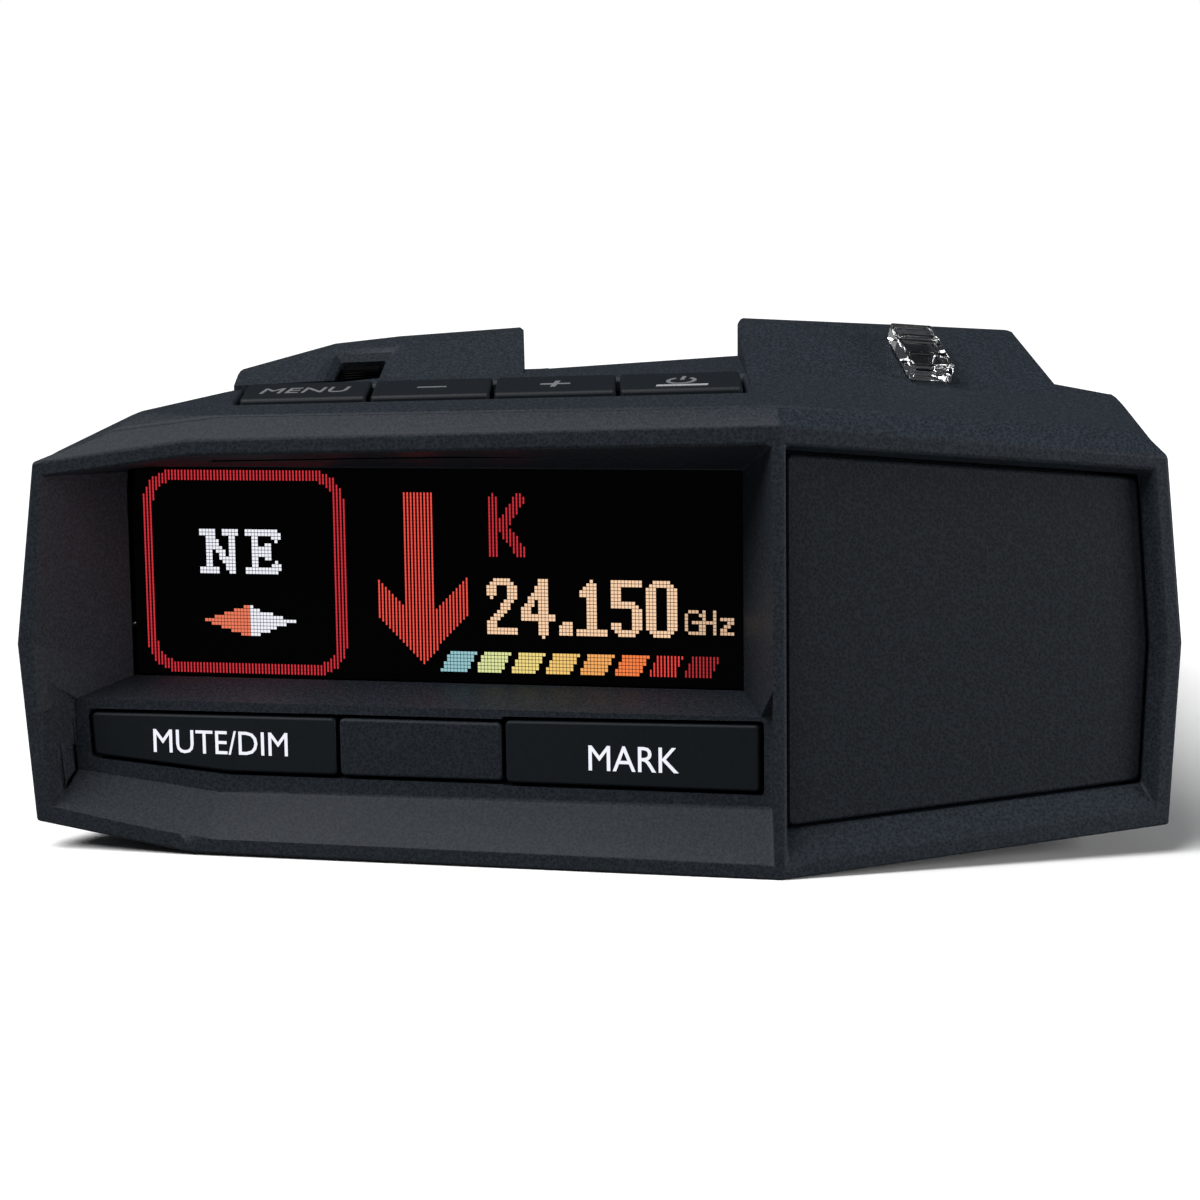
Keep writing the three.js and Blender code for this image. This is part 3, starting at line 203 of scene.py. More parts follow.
class Finish:
    """A material that is made of nodes, with a Principled shader at its end."""

    def __init__(self, name, **constants):
        self.material = bpy.data.materials.new(name)
        self.material.use_nodes = True
        self.tree = self.material.node_tree
        self.shader = next(n for n in self.tree.nodes if n.type == "BSDF_PRINCIPLED")
        for key, value in constants.items():
            self.shader.inputs[key.replace("_", " ").title().replace("Ior", "IOR")].default_value = value

    def node(self, kind, settings=None, sockets=None, output=0):
        """Adds a node: its settings first, then the values and links of its sockets."""
        made = self.tree.nodes.new(kind)
        for key, value in (settings or {}).items():
            if key == "stops":
                self._stops(made.color_ramp, value)
            else:
                setattr(made, key, value)
        for key, value in (sockets or {}).items():
            if isinstance(value, Wire):
                self.tree.links.new(value.socket, made.inputs[key])
            else:
                made.inputs[key].default_value = value
        return Wire(self, made.outputs[output])

    @staticmethod
    def _stops(ramp, stops):
        while len(ramp.elements) < len(stops):
            ramp.elements.new(1.0)
        for element, (place, colour) in zip(ramp.elements, stops):
            element.position = place
            element.color = colour

    def place(self, location=(0, 0, 0), rotation=(0, 0, 0)):
        """Object coordinates, moved and turned by a Mapping node."""
        seen = self.node("ShaderNodeTexCoord", output="Object")
        return self.node(
            "ShaderNodeMapping", {}, {"Vector": seen, "Location": location, "Rotation": rotation}
        )

    def noise(self, vector, size, detail=2.0, roughness=0.5):
        """Noise whose features are about size metres across, from 0 to 1."""
        return self.node(
            "ShaderNodeTexNoise",
            {},
            {"Vector": vector, "Scale": 1.0 / size, "Detail": detail, "Roughness": roughness},
        )

    def cells(self, vector, size, feature="F1"):
        """Distance to the nearest point of a scatter whose points lie about size metres apart."""
        return self.node(
            "ShaderNodeTexVoronoi", {"feature": feature}, {"Vector": vector, "Scale": 1.0 / size}
        )

    def axes(self, vector):
        """The x, y and z of a vector."""
        split = self.tree.nodes.new("ShaderNodeSeparateXYZ")
        self.tree.links.new(vector.socket, split.inputs[0])
        return [Wire(self, s) for s in split.outputs]

    def ramp(self, value, *stops):
        """Grey levels at places from 0 to 1, as (place, level)."""
        colours = [(place, (level, level, level, 1.0)) for place, level in stops]
        return self.node("ShaderNodeValToRGB", {"stops": colours}, {0: value})

    def mixed(self, factor, first, second):
        """The mix of two colours."""
        return self.node(
            "ShaderNodeMix",
            {"data_type": "RGBA"},
            {
                "Factor": factor,
                6: first if isinstance(first, Wire) else (*first, 1.0),
                7: second if isinstance(second, Wire) else (*second, 1.0),
            },
            output=2,
        )

    def feed(self, socket, value):
        self.tree.links.new(value.socket, self.shader.inputs[socket])

    def bump(self, height, distance, strength=1.0):
        """Raises the surface by height, where 1 is distance metres."""
        self.feed(
            "Normal",
            self.node("ShaderNodeBump", {}, {"Height": height, "Distance": distance, "Strength": strength}),
        )


def darker(colour, share):
    return tuple(channel * share for channel in colour)


GRAIN_SIZE = 0.24 * MM
PATCH_SIZE = 14 * MM


def grain(finish, at, size):
    """Moulded grain: rounded cells with a finer unevenness in them."""
    cell = finish.cells(at, size)
    fine = finish.noise(at, size * 0.45, detail=3.0)
    return (cell * 0.6 + fine * 0.7).clamped()


def case_plastic(name, settings, tone=1.0):
    finish = Finish(name, specular_ior_level=0.12)
    at = finish.place()
    texture = grain(finish, at, GRAIN_SIZE)
    patches = finish.noise(at, PATCH_SIZE, detail=4.0)
    plastic = darker(settings.plastic, tone)
    speckle = finish.ramp(texture, (0.25, 0.0), (0.85, 1.0))
    worn = finish.mixed(speckle, darker(plastic, 0.3), darker(plastic, 2.6))
    finish.feed("Base Color", finish.mixed(patches * 0.12, worn, plastic))
    finish.feed("Roughness", (settings.roughness - 0.07) + patches * 0.08 + texture * 0.1)
    finish.bump(texture, settings.grain_depth, 0.9)
    return finish.material


def key_plastic(name, settings, tone=1.0):
    finish = Finish(name, specular_ior_level=0.12)
    at = finish.place()
    texture = finish.noise(at, 0.22 * MM, detail=3.0)
    rubbed = finish.noise(at, 6 * MM, detail=4.0)
    plastic = darker(settings.plastic, tone)
    finish.feed("Base Color", finish.mixed(texture, darker(plastic, 0.8), darker(plastic, 1.25)))
    finish.feed("Roughness", 0.4 + rubbed * 0.1 + texture * 0.06)
    finish.bump(texture, 0.01 * MM, 0.8)
    return finish.material


def smoked_plastic(name):
    finish = Finish(name, specular_ior_level=0.02)
    at = finish.place()
    smear = finish.noise(at, 9 * MM, detail=3.0)
    dust = finish.cells(at, 1.3 * MM)
    finish.feed("Roughness", 0.035 + smear * 0.05)
    clean, dusty = (0.0006, 0.0006, 0.0008), (0.004, 0.004, 0.0045)
    finish.feed("Base Color", finish.mixed(dust < 0.03, clean, dusty))
    finish.bump(smear, 0.004 * MM, 0.5)
    return finish.material


def clear_plastic(name):
    finish = Finish(name, transmission_weight=1.0, ior=1.49, specular_ior_level=0.5)
    at = finish.place()
    flow = finish.noise(at, 1.6 * MM, detail=2.0)
    finish.feed("Base Color", finish.mixed(flow, (0.93, 0.95, 0.96), (1.0, 1.0, 1.0)))
    finish.feed("Roughness", 0.015 + flow * 0.05)
    finish.bump(flow, 0.02 * MM, 0.35)
    return finish.material


def display_glass(name):
    finish = Finish(name, coat_weight=0.4, coat_roughness=0.04)
    at = finish.place()
    sheen = finish.noise(at, 5 * MM, detail=2.0)
    finish.feed("Base Color", finish.mixed(sheen, (0.003, 0.003, 0.004), (0.008, 0.007, 0.012)))
    finish.feed("Roughness", 0.06 + sheen * 0.08)
    return finish.material


def light(name, colour, strength):
    """Something that shines by itself, a little unevenly."""
    finish = Finish(name, roughness=0.6, emission_strength=strength, specular_ior_level=0.2)
    at = finish.place()
    drift = finish.noise(at, 2.2 * MM, detail=2.0)
    finish.feed("Emission Color", finish.mixed(drift, darker(colour, 0.9), colour))
    finish.feed("Base Color", finish.mixed(drift, darker(colour, 0.04), darker(colour, 0.08)))
    return finish.material


def print_ink(name, colour):
    finish = Finish(name, specular_ior_level=0.3)
    at = finish.place()
    cover = finish.noise(at, 0.3 * MM, detail=4.0)
    finish.feed("Base Color", finish.mixed(cover, darker(colour, 0.7), colour))
    finish.feed("Roughness", 0.5 + cover * 0.2)
    return finish.material


def metal(name, colour, roughness, lay=(1.0, 1.0, 1.0), tarnish=0.75):
    """Sheet or turned metal; the scratches are drawn out along the axis whose lay is small."""
    finish = Finish(name, metallic=1.0)
    seen = finish.node("ShaderNodeTexCoord", output="Object")
    drawn = finish.node("ShaderNodeMapping", {}, {"Vector": seen, "Scale": lay})
    scratch = finish.noise(drawn, 0.25 * MM, detail=4.0)
    stain = finish.noise(seen, 5 * MM, detail=4.0)
    bright = finish.mixed(scratch, darker(colour, 0.9), colour)
    finish.feed("Base Color", finish.mixed(stain * 0.6, bright, darker(colour, tarnish)))
    finish.feed("Roughness", (roughness - 0.08) + scratch * 0.12 + stain * 0.08)
    finish.bump(scratch, 0.004 * MM, 0.5)
    return finish.material


def circuit_board(name):
    finish = Finish(name, specular_ior_level=0.5)
    at = finish.place()
    resist = finish.noise(at, 3 * MM, detail=4.0)
    pads = finish.cells(at, 1.9 * MM, feature="F1") < 0.24
    bands = {"wave_type": "BANDS", "bands_direction": "DIAGONAL"}
    tracks = finish.node("ShaderNodeTexWave", bands, {"Vector": at, "Scale": 420.0})
    board = finish.mixed(resist, (0.006, 0.05, 0.022), (0.012, 0.085, 0.04))
    etched = finish.mixed(finish.ramp(tracks, (0.72, 0.0), (0.78, 1.0)), board, (0.02, 0.13, 0.06))
    finish.feed("Base Color", finish.mixed(pads, etched, (0.55, 0.52, 0.46)))
    finish.feed("Metallic", pads * 0.9)
    finish.feed("Roughness", 0.42 - pads * 0.12 + resist * 0.1)
    finish.bump(pads + tracks * 0.3, 0.02 * MM, 0.6)
    return finish.material


def ceramic(name):
    finish = Finish(name, specular_ior_level=0.5)
    at = finish.place()
    fired = finish.noise(at, 0.6 * MM, detail=5.0)
    spots = finish.cells(at, 1.1 * MM) < 0.12
    body = finish.mixed(fired, (0.52, 0.44, 0.26), (0.62, 0.54, 0.36))
    finish.feed("Base Color", finish.mixed(spots, body, (0.36, 0.29, 0.16)))
    finish.feed("Roughness", 0.45 + fired * 0.2)
    finish.bump(fired, 0.015 * MM, 0.7)
    return finish.material


def cone_paper(name, centre):
    """Pressed paper, with rings round the middle of the speaker."""
    finish = Finish(name, specular_ior_level=0.2)
    at = finish.place(location=(-centre.x, -centre.y, 0))
    x, y, z = finish.axes(at)
    radius = (x * x + y * y) ** 0.5
    rings = ripple(finish, radius, 1.1 * MM)
    fibre = finish.noise(at, 0.35 * MM, detail=5.0)
    finish.feed("Base Color", finish.mixed(fibre, (0.010, 0.010, 0.011), (0.03, 0.029, 0.028)))
    finish.feed("Roughness", 0.75 + fibre * 0.2)
    finish.bump(rings * 0.8 + fibre * 0.4, 0.06 * MM, 0.8)
    return finish.material


def label_film(name, low, high):
    """Blank silvery film with a printed border and two empty printed fields."""
    finish = Finish(name, metallic=0.35)
    middle = (low + high) / 2
    half = (high - low) / 2
    at = finish.place(location=(-middle.x, -middle.y, 0))
    x, y, z = finish.axes(at)
    u = abs(x) / half.x
    v = abs(y) / half.y
    border = ((u > 0.88) + (v > 0.92)).clamped() * (u < 0.93) * (v < 0.95)
    field = (u < 0.74) * (abs(y / half.y - 0.45) < 0.22)
    weave = finish.noise(at, 0.2 * MM, detail=4.0)
    film = finish.mixed(weave, (0.30, 0.31, 0.32), (0.38, 0.39, 0.40))
    finish.feed("Base Color", finish.mixed((border + field * 0.6).clamped(), film, (0.06, 0.062, 0.066)))
    finish.feed("Roughness", 0.4 + weave * 0.15)
    finish.bump(weave, 0.006 * MM, 0.5)
    return finish.material


def studio_paper(name):
    """Pale paper that throws little light back up under the case."""
    finish = Finish(name, specular_ior_level=0.1)
    at = finish.place()
    fibre = finish.noise(at, 30 * MM, detail=5.0)
    seen = finish.node("ShaderNodeLightPath", output="Is Camera Ray")
    paper = finish.mixed(fibre, (0.93, 0.93, 0.93), (0.95, 0.95, 0.95))
    finish.feed("Base Color", finish.mixed(seen, (0.3, 0.3, 0.3), paper))
    finish.feed("Roughness", 0.85 + fibre * 0.1)
    return finish.material


def ripple(finish, value, pitch):
    """A ripple from 0 to 1 whose crests lie pitch metres apart."""
    turn = finish.node("ShaderNodeMath", {"operation": "SINE"}, {0: value * (math.tau / pitch)})
    return turn * 0.5 + 0.5


# ---- Modelling ---------------------------------------------------------------------------------------

SHORTEST_EDGE = 2.0  # shortest edge that takes a bevel, in bevel widths
BEVEL_TRIES = 12
BEVEL_SLACK = 1.1  # how far a bevel may leave the surface, in bevel widths
BEVEL_REACH = 2.5  # how far a fold spoils the edges round it, in bevel widths
SHARP_ANGLE = math.radians(12)
ROUNDED_ANGLE = math.radians(35)
SMOOTH_ANGLE = math.radians(40)
FLAT_ANGLE = math.radians(0.2)
MERGE_DISTANCE = 0.002 * MM
LETTER_MERGE = 1e-4
FACING = Matrix.Rotation(math.radians(90), 4, "X")  # turns what lies flat to face the display's side


def only(*objects):
    """Selects these objects and nothing else; the first is active."""
    bpy.ops.object.select_all(action="DESELECT")
    for o in objects:
        o.select_set(True)
    bpy.context.view_layer.objects.active = objects[0]


def named(name):
    """Names the new active object and its mesh."""
    made = bpy.context.object
    made.name = name
    made.data.name = name
    if made.name != name:
        raise RuntimeError(f"{name} exists already")
    return made


def added(name, operator, **settings):
    """Adds an object with nothing else selected, and names it."""
    bpy.ops.object.select_all(action="DESELECT")
    operator(**settings)
    return named(name)


def with_mesh(name, mesh):
    """An object for a copy of a mesh."""
    piece = bpy.data.objects.new(name, mesh.copy())
    piece.data.name = name
    bpy.context.scene.collection.objects.link(piece)
    return piece


def edit(mode="FACE"):
    bpy.ops.object.mode_set(mode="EDIT")
    bpy.ops.mesh.select_mode(type=mode)


def edit_all(mode="FACE"):
    edit(mode)
    bpy.ops.mesh.select_all(action="SELECT")


def done():
    bpy.ops.object.mode_set(mode="OBJECT")


def pick(piece, kind, test):
    """Selects the faces or edges of the edited piece that pass the test, by their centre and normal."""
    done()
    mesh = piece.data
    for group in (mesh.vertices, mesh.edges, mesh.polygons):
        group.foreach_set("select", [False] * len(group))
    if kind == "FACE":
        chosen = [f for f in mesh.polygons if test(f.center, f.normal)]
    else:
        spots = [v.co for v in mesh.vertices]
        chosen = [e for e in mesh.edges if test(spots[e.vertices[0]], spots[e.vertices[1]])]
    if not chosen:
        raise RuntimeError(f"nothing to pick on {piece.name}")
    for item in chosen:
        item.select = True
    edit(kind)


def finish_piece(piece, place, material, slot, body, *nodes):
    """Puts the piece in its place in its mesh, and on its body, in place of CAD nodes."""
    piece.data.transform(place)
    if not piece.data.materials:
        piece.data.materials.append(material)
    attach(piece, body)
    if nodes:
        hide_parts(*nodes)
    return piece


def apply_modifiers(piece):
    only(piece)
    for modifier in list(piece.modifiers):
        bpy.ops.object.modifier_apply(modifier=modifier.name)


def thickened(piece, thickness):
    """Gives a flat piece its thickness, upwards."""
    solid = piece.modifiers.new("thickness", "SOLIDIFY")
    solid.thickness = thickness
    solid.offset = 1
    apply_modifiers(piece)
    return piece


def roomy_edges(piece, shortest, angle):
    """The sharp edges that are long enough for a bevel, and whose ends meet no short sharp edge."""
    shape = bmesh.new()
    shape.from_mesh(piece.data)
    sharp = [e for e in shape.edges if e.is_manifold and e.calc_face_angle() > angle]
    crowded = {v for e in sharp if e.calc_length() < shortest for v in e.verts}
    chosen = {e.index for e in sharp if not crowded & set(e.verts)}
    shape.free()
    return chosen


def strayed(piece, surface, width):
    """Points where the bevelled surface has left the one that it started from."""
    shown = piece.evaluated_get(bpy.context.evaluated_depsgraph_get())
    mesh = shown.to_mesh()
    spots = [v.co.copy() for v in mesh.vertices]
    off = [surface.find_nearest(spot)[3] > width * BEVEL_SLACK for spot in spots]
    near = set()
    for edge in mesh.edges:
        a, b = edge.vertices
        if off[a] != off[b]:
            near.add(spots[b if off[a] else a].freeze())
    shown.to_mesh_clear()
    return near, any(off)


def bevelled(piece, width, segments=2, rounded=False):
    """Rounds the sharp edges, leaving out those where the bevel would fold over its neighbours.

    A piece with a rounded outline has short edges round its corners, which take the bevel too.
    """
    angle = ROUNDED_ANGLE if rounded else SHARP_ANGLE
    shape = bmesh.new()
    shape.from_mesh(piece.data)
    surface = BVHTree.FromBMesh(shape)
    shape.free()
    chosen = roomy_edges(piece, 0 if rounded else width * SHORTEST_EDGE, angle)
    weights = piece.data.attributes.new("bevel_weight_edge", "FLOAT", "EDGE")
    edge = piece.modifiers.new("edges", "BEVEL")
    edge.width = width
    edge.segments = segments
    edge.limit_method = "WEIGHT"
    edge.use_clamp_overlap = False
    edge.loop_slide = False
    for _ in range(BEVEL_TRIES):
        weights.data.foreach_set("value", [float(e.index in chosen) for e in piece.data.edges])
        piece.data.update()
        near, any_off = strayed(piece, surface, width)
        if not any_off:
            break
        reach = width * BEVEL_REACH
        close = {v.index for v in piece.data.vertices if any((v.co - n).length < reach for n in near)}
        dropped = {i for i in chosen if close & set(piece.data.edges[i].vertices)}
        chosen -= dropped
    else:
        raise RuntimeError(f"the bevel of {piece.name} still folds over")
    smooth(piece)
    flat = piece.modifiers.new("flat faces", "WEIGHTED_NORMAL")
    flat.keep_sharp = True
    apply_modifiers(piece)
    return piece


def smooth(piece):
    only(piece)
    bpy.ops.object.shade_smooth_by_angle(angle=SMOOTH_ANGLE)


def copy_of(node, name):
    """A copy of a CAD node with its loose triangles joined into whole faces."""
    piece = with_mesh(name, frame["nodes"][node].data)
    piece.data.materials.clear()
    only(piece)
    bpy.ops.mesh.customdata_custom_splitnormals_clear()
    edit_all("VERT")
    bpy.ops.mesh.remove_doubles(threshold=MERGE_DISTANCE)
    bpy.ops.mesh.dissolve_limited(angle_limit=FLAT_ANGLE)
    bpy.ops.mesh.quads_convert_to_tris(quad_method="BEAUTY", ngon_method="BEAUTY")
    done()
    return piece


def words(text, width, height, thickness, name):
    """Flat lettering, centred on the origin in x and y and rising from z = 0."""
    bpy.ops.object.select_all(action="DESELECT")
    bpy.ops.object.text_add()
    made = bpy.context.object
    made.data.body = text
    made.data.align_x = "CENTER"
    made.data.align_y = "CENTER"
    made.data.resolution_u = 3
    made.data.extrude = 0.01
    bpy.ops.object.convert(target="MESH")
    piece = named(name)
    edit_all("VERT")
    bpy.ops.mesh.remove_doubles(threshold=LETTER_MERGE)
    bpy.ops.mesh.dissolve_degenerate(threshold=LETTER_MERGE)
    done()
    spots = np.array([v.co for v in piece.data.vertices])
    low, high = spots.min(0), spots.max(0)
    size = high - low
    piece.data.transform(
        Matrix.Diagonal((width / size[0], height / size[1], thickness / size[2], 1))
        @ Matrix.Translation(-Vector(((low[0] + high[0]) / 2, (low[1] + high[1]) / 2, low[2])))
    )
    return piece


def deck_height(x, y, fall=DECK_FALL):
    """Height of the deck, left of the crease unless another fall is given."""
    across = abs(x - CREASE_X)
    along = y - (CREASE_Y + across * math.tan(FACE_ANGLE)) - BAND_DEPTH
    return DECK_RIDGE - across * fall + along * DECK_SLOPE


def slope_place(corner, along, up):
    """A place on a slope: x along its foot from the corner, y up the slope, z out of it."""
    x_axis = (along - corner).normalized()
    z_axis = x_axis.cross(up - corner).normalized()
    y_axis = z_axis.cross(x_axis)
    turn = Matrix((x_axis, y_axis, z_axis)).transposed().to_4x4()
    return Matrix.Translation(corner) @ turn


def block(name, low, high):
    """A closed block between two corners, as a start for a piece."""
    low, high = Vector(low), Vector(high)
    piece = added(name, bpy.ops.mesh.primitive_cube_add, size=1)
    piece.data.transform(Matrix.Translation((low + high) / 2) @ Matrix.Diagonal((*(high - low), 1)))
    return piece


def bisected(piece, point, normal):
    """Cuts a line of edges right round the piece, where a plane passes through it."""
    only(piece)
    edit_all()
    bpy.ops.mesh.bisect(plane_co=point, plane_no=normal)
    done()


def pulled(height):
    """Extrudes what is picked, along z."""
    bpy.ops.mesh.extrude_region_move(TRANSFORM_OT_translate={"value": (0, 0, height)})


def joined(*pieces):
    """The first piece, with the others in its mesh."""
    only(*pieces)
    bpy.ops.object.join()
    return pieces[0]


# ---- Operators ---------------------------------------------------------------------------------------

class DETECTOR_OT_case(bpy.types.Operator):
    """Build the upper and lower housings, the bezel and the side panel with rounded edges"""

    bl_idname = "detector.case"
    bl_label = "Case"

    def execute(self, context):
        settings = context.scene.detector_case
        shells = case_plastic("charcoal moulding", settings)
        # The side panel takes the same plastic painted darker, to 0.66 of its colour, as painted shade on its
        # face.
        flat = case_plastic("charcoal panel in painted shade", settings, tone=0.66)
        for node, name, width, plastic in (
            ("upper_housing", "case_top", settings.edge_radius, shells),
            ("lower_housing", "case_base", settings.edge_radius, shells),
            ("front_bezel", "face_bezel", settings.edge_radius * 0.6, shells),
            ("side_radome_panel", "radome_panel", settings.edge_radius * 0.6, flat),
        ):
            piece = bevelled(copy_of(node, name), width, rounded=node == "side_radome_panel")
            finish_piece(piece, Matrix(), plastic, "case_plastic", "root", node)
        return {"FINISHED"}


# Each top key: the middle of its top, and the mark on it as (text, width, length).
TOP_KEYS = {
    "menu": (-21.73, "MENU", 6.9, 1.75),
    "volume_down": (-11.8, "–", 2.3, 0.26),
    "volume_up": (-2.32, "+", 2.3, 2.0),
    "power": (7.16, None, 0, 0),
}
KEY_MIDDLE = 3.2 * MM  # from the front of the key row
PRINT_THICKNESS = 0.05 * MM
PRINT_SUNK = 0.02 * MM
ROW_FRONT_RIGHT = Vector((11.9 * MM, -50.4 * MM))


def key_top_place(middle, forward=0.0):
    """A place on a top key: x along the row, y up the slope, z out of the key."""
    def spot(x, y):
        return Vector((x, y, deck_height(x, y) + KEY_PROUD))

    def row(x):
        return ROW_FRONT_RIGHT.y + (ROW_FRONT_RIGHT.x - x) * KEY_ROW_SKEW + KEY_MIDDLE - forward

    x = middle * MM
    step = 1 * MM
    here = spot(x, row(x))
    return slope_place(here, spot(x + step, row(x + step)), spot(x, row(x) + step))


def power_symbol(name, thickness):
    """An open ring with an upright bar in its gap."""
    radius, inner_share, gap_slope = 1.15 * MM, 0.74, 1.6
    bar_middle, bar_width, bar_length = 0.85 * MM, 0.3 * MM, 1.2 * MM
    ring = added(name, bpy.ops.mesh.primitive_circle_add, vertices=32, radius=radius, fill_type="NOTHING")
    edit_all("EDGE")
    bpy.ops.mesh.extrude_region_move()
    bpy.ops.transform.resize(value=(inner_share, inner_share, 1))
    pick(ring, "FACE", lambda c, n: c.y > abs(c.x) * gap_slope)
    bpy.ops.mesh.delete(type="FACE")
    done()
    bar = added(name + "_bar", bpy.ops.mesh.primitive_plane_add, size=1)
    bar.data.transform(Matrix.Diagonal((bar_width, bar_length, 1, 1)))
    bar.data.transform(Matrix.Translation((0, bar_middle, 0)))
    symbol = joined(ring, bar)
    symbol.name = name
    only(symbol)
    edit_all()
    bpy.ops.mesh.normals_make_consistent(inside=False)
    done()
    return thickened(symbol, thickness)


class DETECTOR_OT_top_keys(bpy.types.Operator):
    """Build the four keys on the deck, with their printed marks"""

    bl_idname = "detector.top_keys"
    bl_label = "Top keys"

    def execute(self, context):
        settings = context.scene.detector_keys
        plastic = key_plastic("satin key", settings)
        ink = print_ink("grey print", settings.print_colour)
        sunk = Matrix.Translation((0, 0, -PRINT_SUNK))
        for key, (middle, text, width, length) in TOP_KEYS.items():
            node = f"{key}_button"
            cap = bevelled(copy_of(node, f"{key}_key"), settings.edge_radius, segments=3)
            finish_piece(cap, Matrix(), plastic, "key_plastic", f"{node}_body", node)
            if text:
                mark = words(text, width * MM, length * MM, PRINT_THICKNESS, f"{key}_mark")
            else:
                mark = power_symbol(f"{key}_mark", PRINT_THICKNESS)
            place = key_top_place(middle, forward=0.2 * MM)
            finish_piece(mark, place @ sunk, ink, "key_plastic", f"{node}_body")
        self.status_bar(sunk)
        return {"FINISHED"}

    def status_bar(self, sunk):
        """The narrow status light in front of the power symbol."""
        reach = 1.95 * MM
        bar = block("power_status_bar", (-reach, -0.15 * MM, 0), (reach, 0.32 * MM, 0.07 * MM))
        bevelled(bar, 0.02 * MM)
        lamp = print_ink("status bar film", (0.34, 0.35, 0.37))
        place = key_top_place(TOP_KEYS["power"][0], forward=reach)
        finish_piece(bar, place @ sunk, lamp, "key_plastic", "power_button_body")


# Each front key: middle of its word along the face, height of the word's middle, word, width, height.
FRONT_KEYS = {
    "mute_dim": (-44.25, 8.2, "MUTE/DIM", 11.0, 1.85),
    "mark": (-11.6, 7.95, "MARK", 6.85, 1.9),
}
FRONT_KEY_DEPTH = 3.25 * MM


class DETECTOR_OT_front_keys(bpy.types.Operator):
    """Build the two front keys with their lit words, and the blank piece between them"""

    bl_idname = "detector.front_keys"
    bl_label = "Front keys"

    def execute(self, context):
        settings = context.scene.detector_keys
        plastic = key_plastic("satin front key", settings)
        lit = light("lit legend", (0.9, 0.92, 1.0), settings.light_strength)
        edge = settings.edge_radius * 0.7
        for key, (along, height, text, width, tall) in FRONT_KEYS.items():
            node = f"{key}_button"
            cap = bevelled(copy_of(node, f"{key}_key"), edge, segments=3, rounded=True)
            finish_piece(cap, Matrix(), plastic, "key_plastic", f"{node}_body", node)
            word = words(text, width * MM, tall * MM, PRINT_THICKNESS, f"{key}_word")
            place = Matrix.Translation((along * MM, FRONT_KEY_DEPTH + PRINT_SUNK, height * MM))
            finish_piece(word, DISPLAY_SIDE @ place @ FACING, lit, "key_plastic", f"{node}_body")
        blank = bevelled(copy_of("centre_key_blank", "centre_blank"), edge, segments=3, rounded=True)
        grained = case_plastic("grained blank", context.scene.detector_case, tone=0.9)
        finish_piece(blank, Matrix(), grained, "key_plastic", "root", "centre_key_blank")
        return {"FINISHED"}


# ---- Light dots of the display -------------------------------------------------------------------------

def pen(strokes, width):
    """The dots that lie under strokes of this width; a stroke is a chain of points in dots, y down."""
    dots = set()
    reach = width / 2
    for stroke in strokes:
        for (x0, y0), (x1, y1) in zip(stroke, stroke[1:]):
            length = math.hypot(x1 - x0, y1 - y0) or 1.0
            for column in range(math.floor(min(x0, x1) - reach), math.ceil(max(x0, x1) + reach) + 1):
                for row in range(math.floor(min(y0, y1) - reach), math.ceil(max(y0, y1) + reach) + 1):
                    x, y = column + 0.5 - x0, row + 0.5 - y0
                    share = (x * (x1 - x0) + y * (y1 - y0)) / length ** 2
                    share = min(1.0, max(0.0, share))
                    off_x, off_y = x - share * (x1 - x0), y - share * (y1 - y0)
                    if math.hypot(off_x, off_y) < reach:
                        dots.add((column, row))
    return dots


def filled(corners):
    """The dots inside an outline."""
    dots = set()
    for row in range(ROWS):
        y = row + 0.5
        for column in range(COLUMNS):
            x = column + 0.5
            inside = False
            for (x0, y0), (x1, y1) in zip(corners, corners[1:] + corners[:1]):
                if (y0 > y) != (y1 > y) and x < x0 + (y - y0) * (x1 - x0) / (y1 - y0):
                    inside = not inside
            if inside:
                dots.add((column, row))
    return dots


def rounded_frame(left, top, right, bottom, radius, width):
    """The dots of a rounded frame."""
    dots = set()
    middle_x, middle_y = (left + right) / 2, (top + bottom) / 2
    half_x, half_y = (right - left) / 2 - radius, (bottom - top) / 2 - radius
    for row in range(ROWS):
        for column in range(COLUMNS):
            x = max(abs(column + 0.5 - middle_x) - half_x, 0)
            y = max(abs(row + 0.5 - middle_y) - half_y, 0)
            if radius - width < math.hypot(x, y) <= radius:
                dots.add((column, row))
    return dots


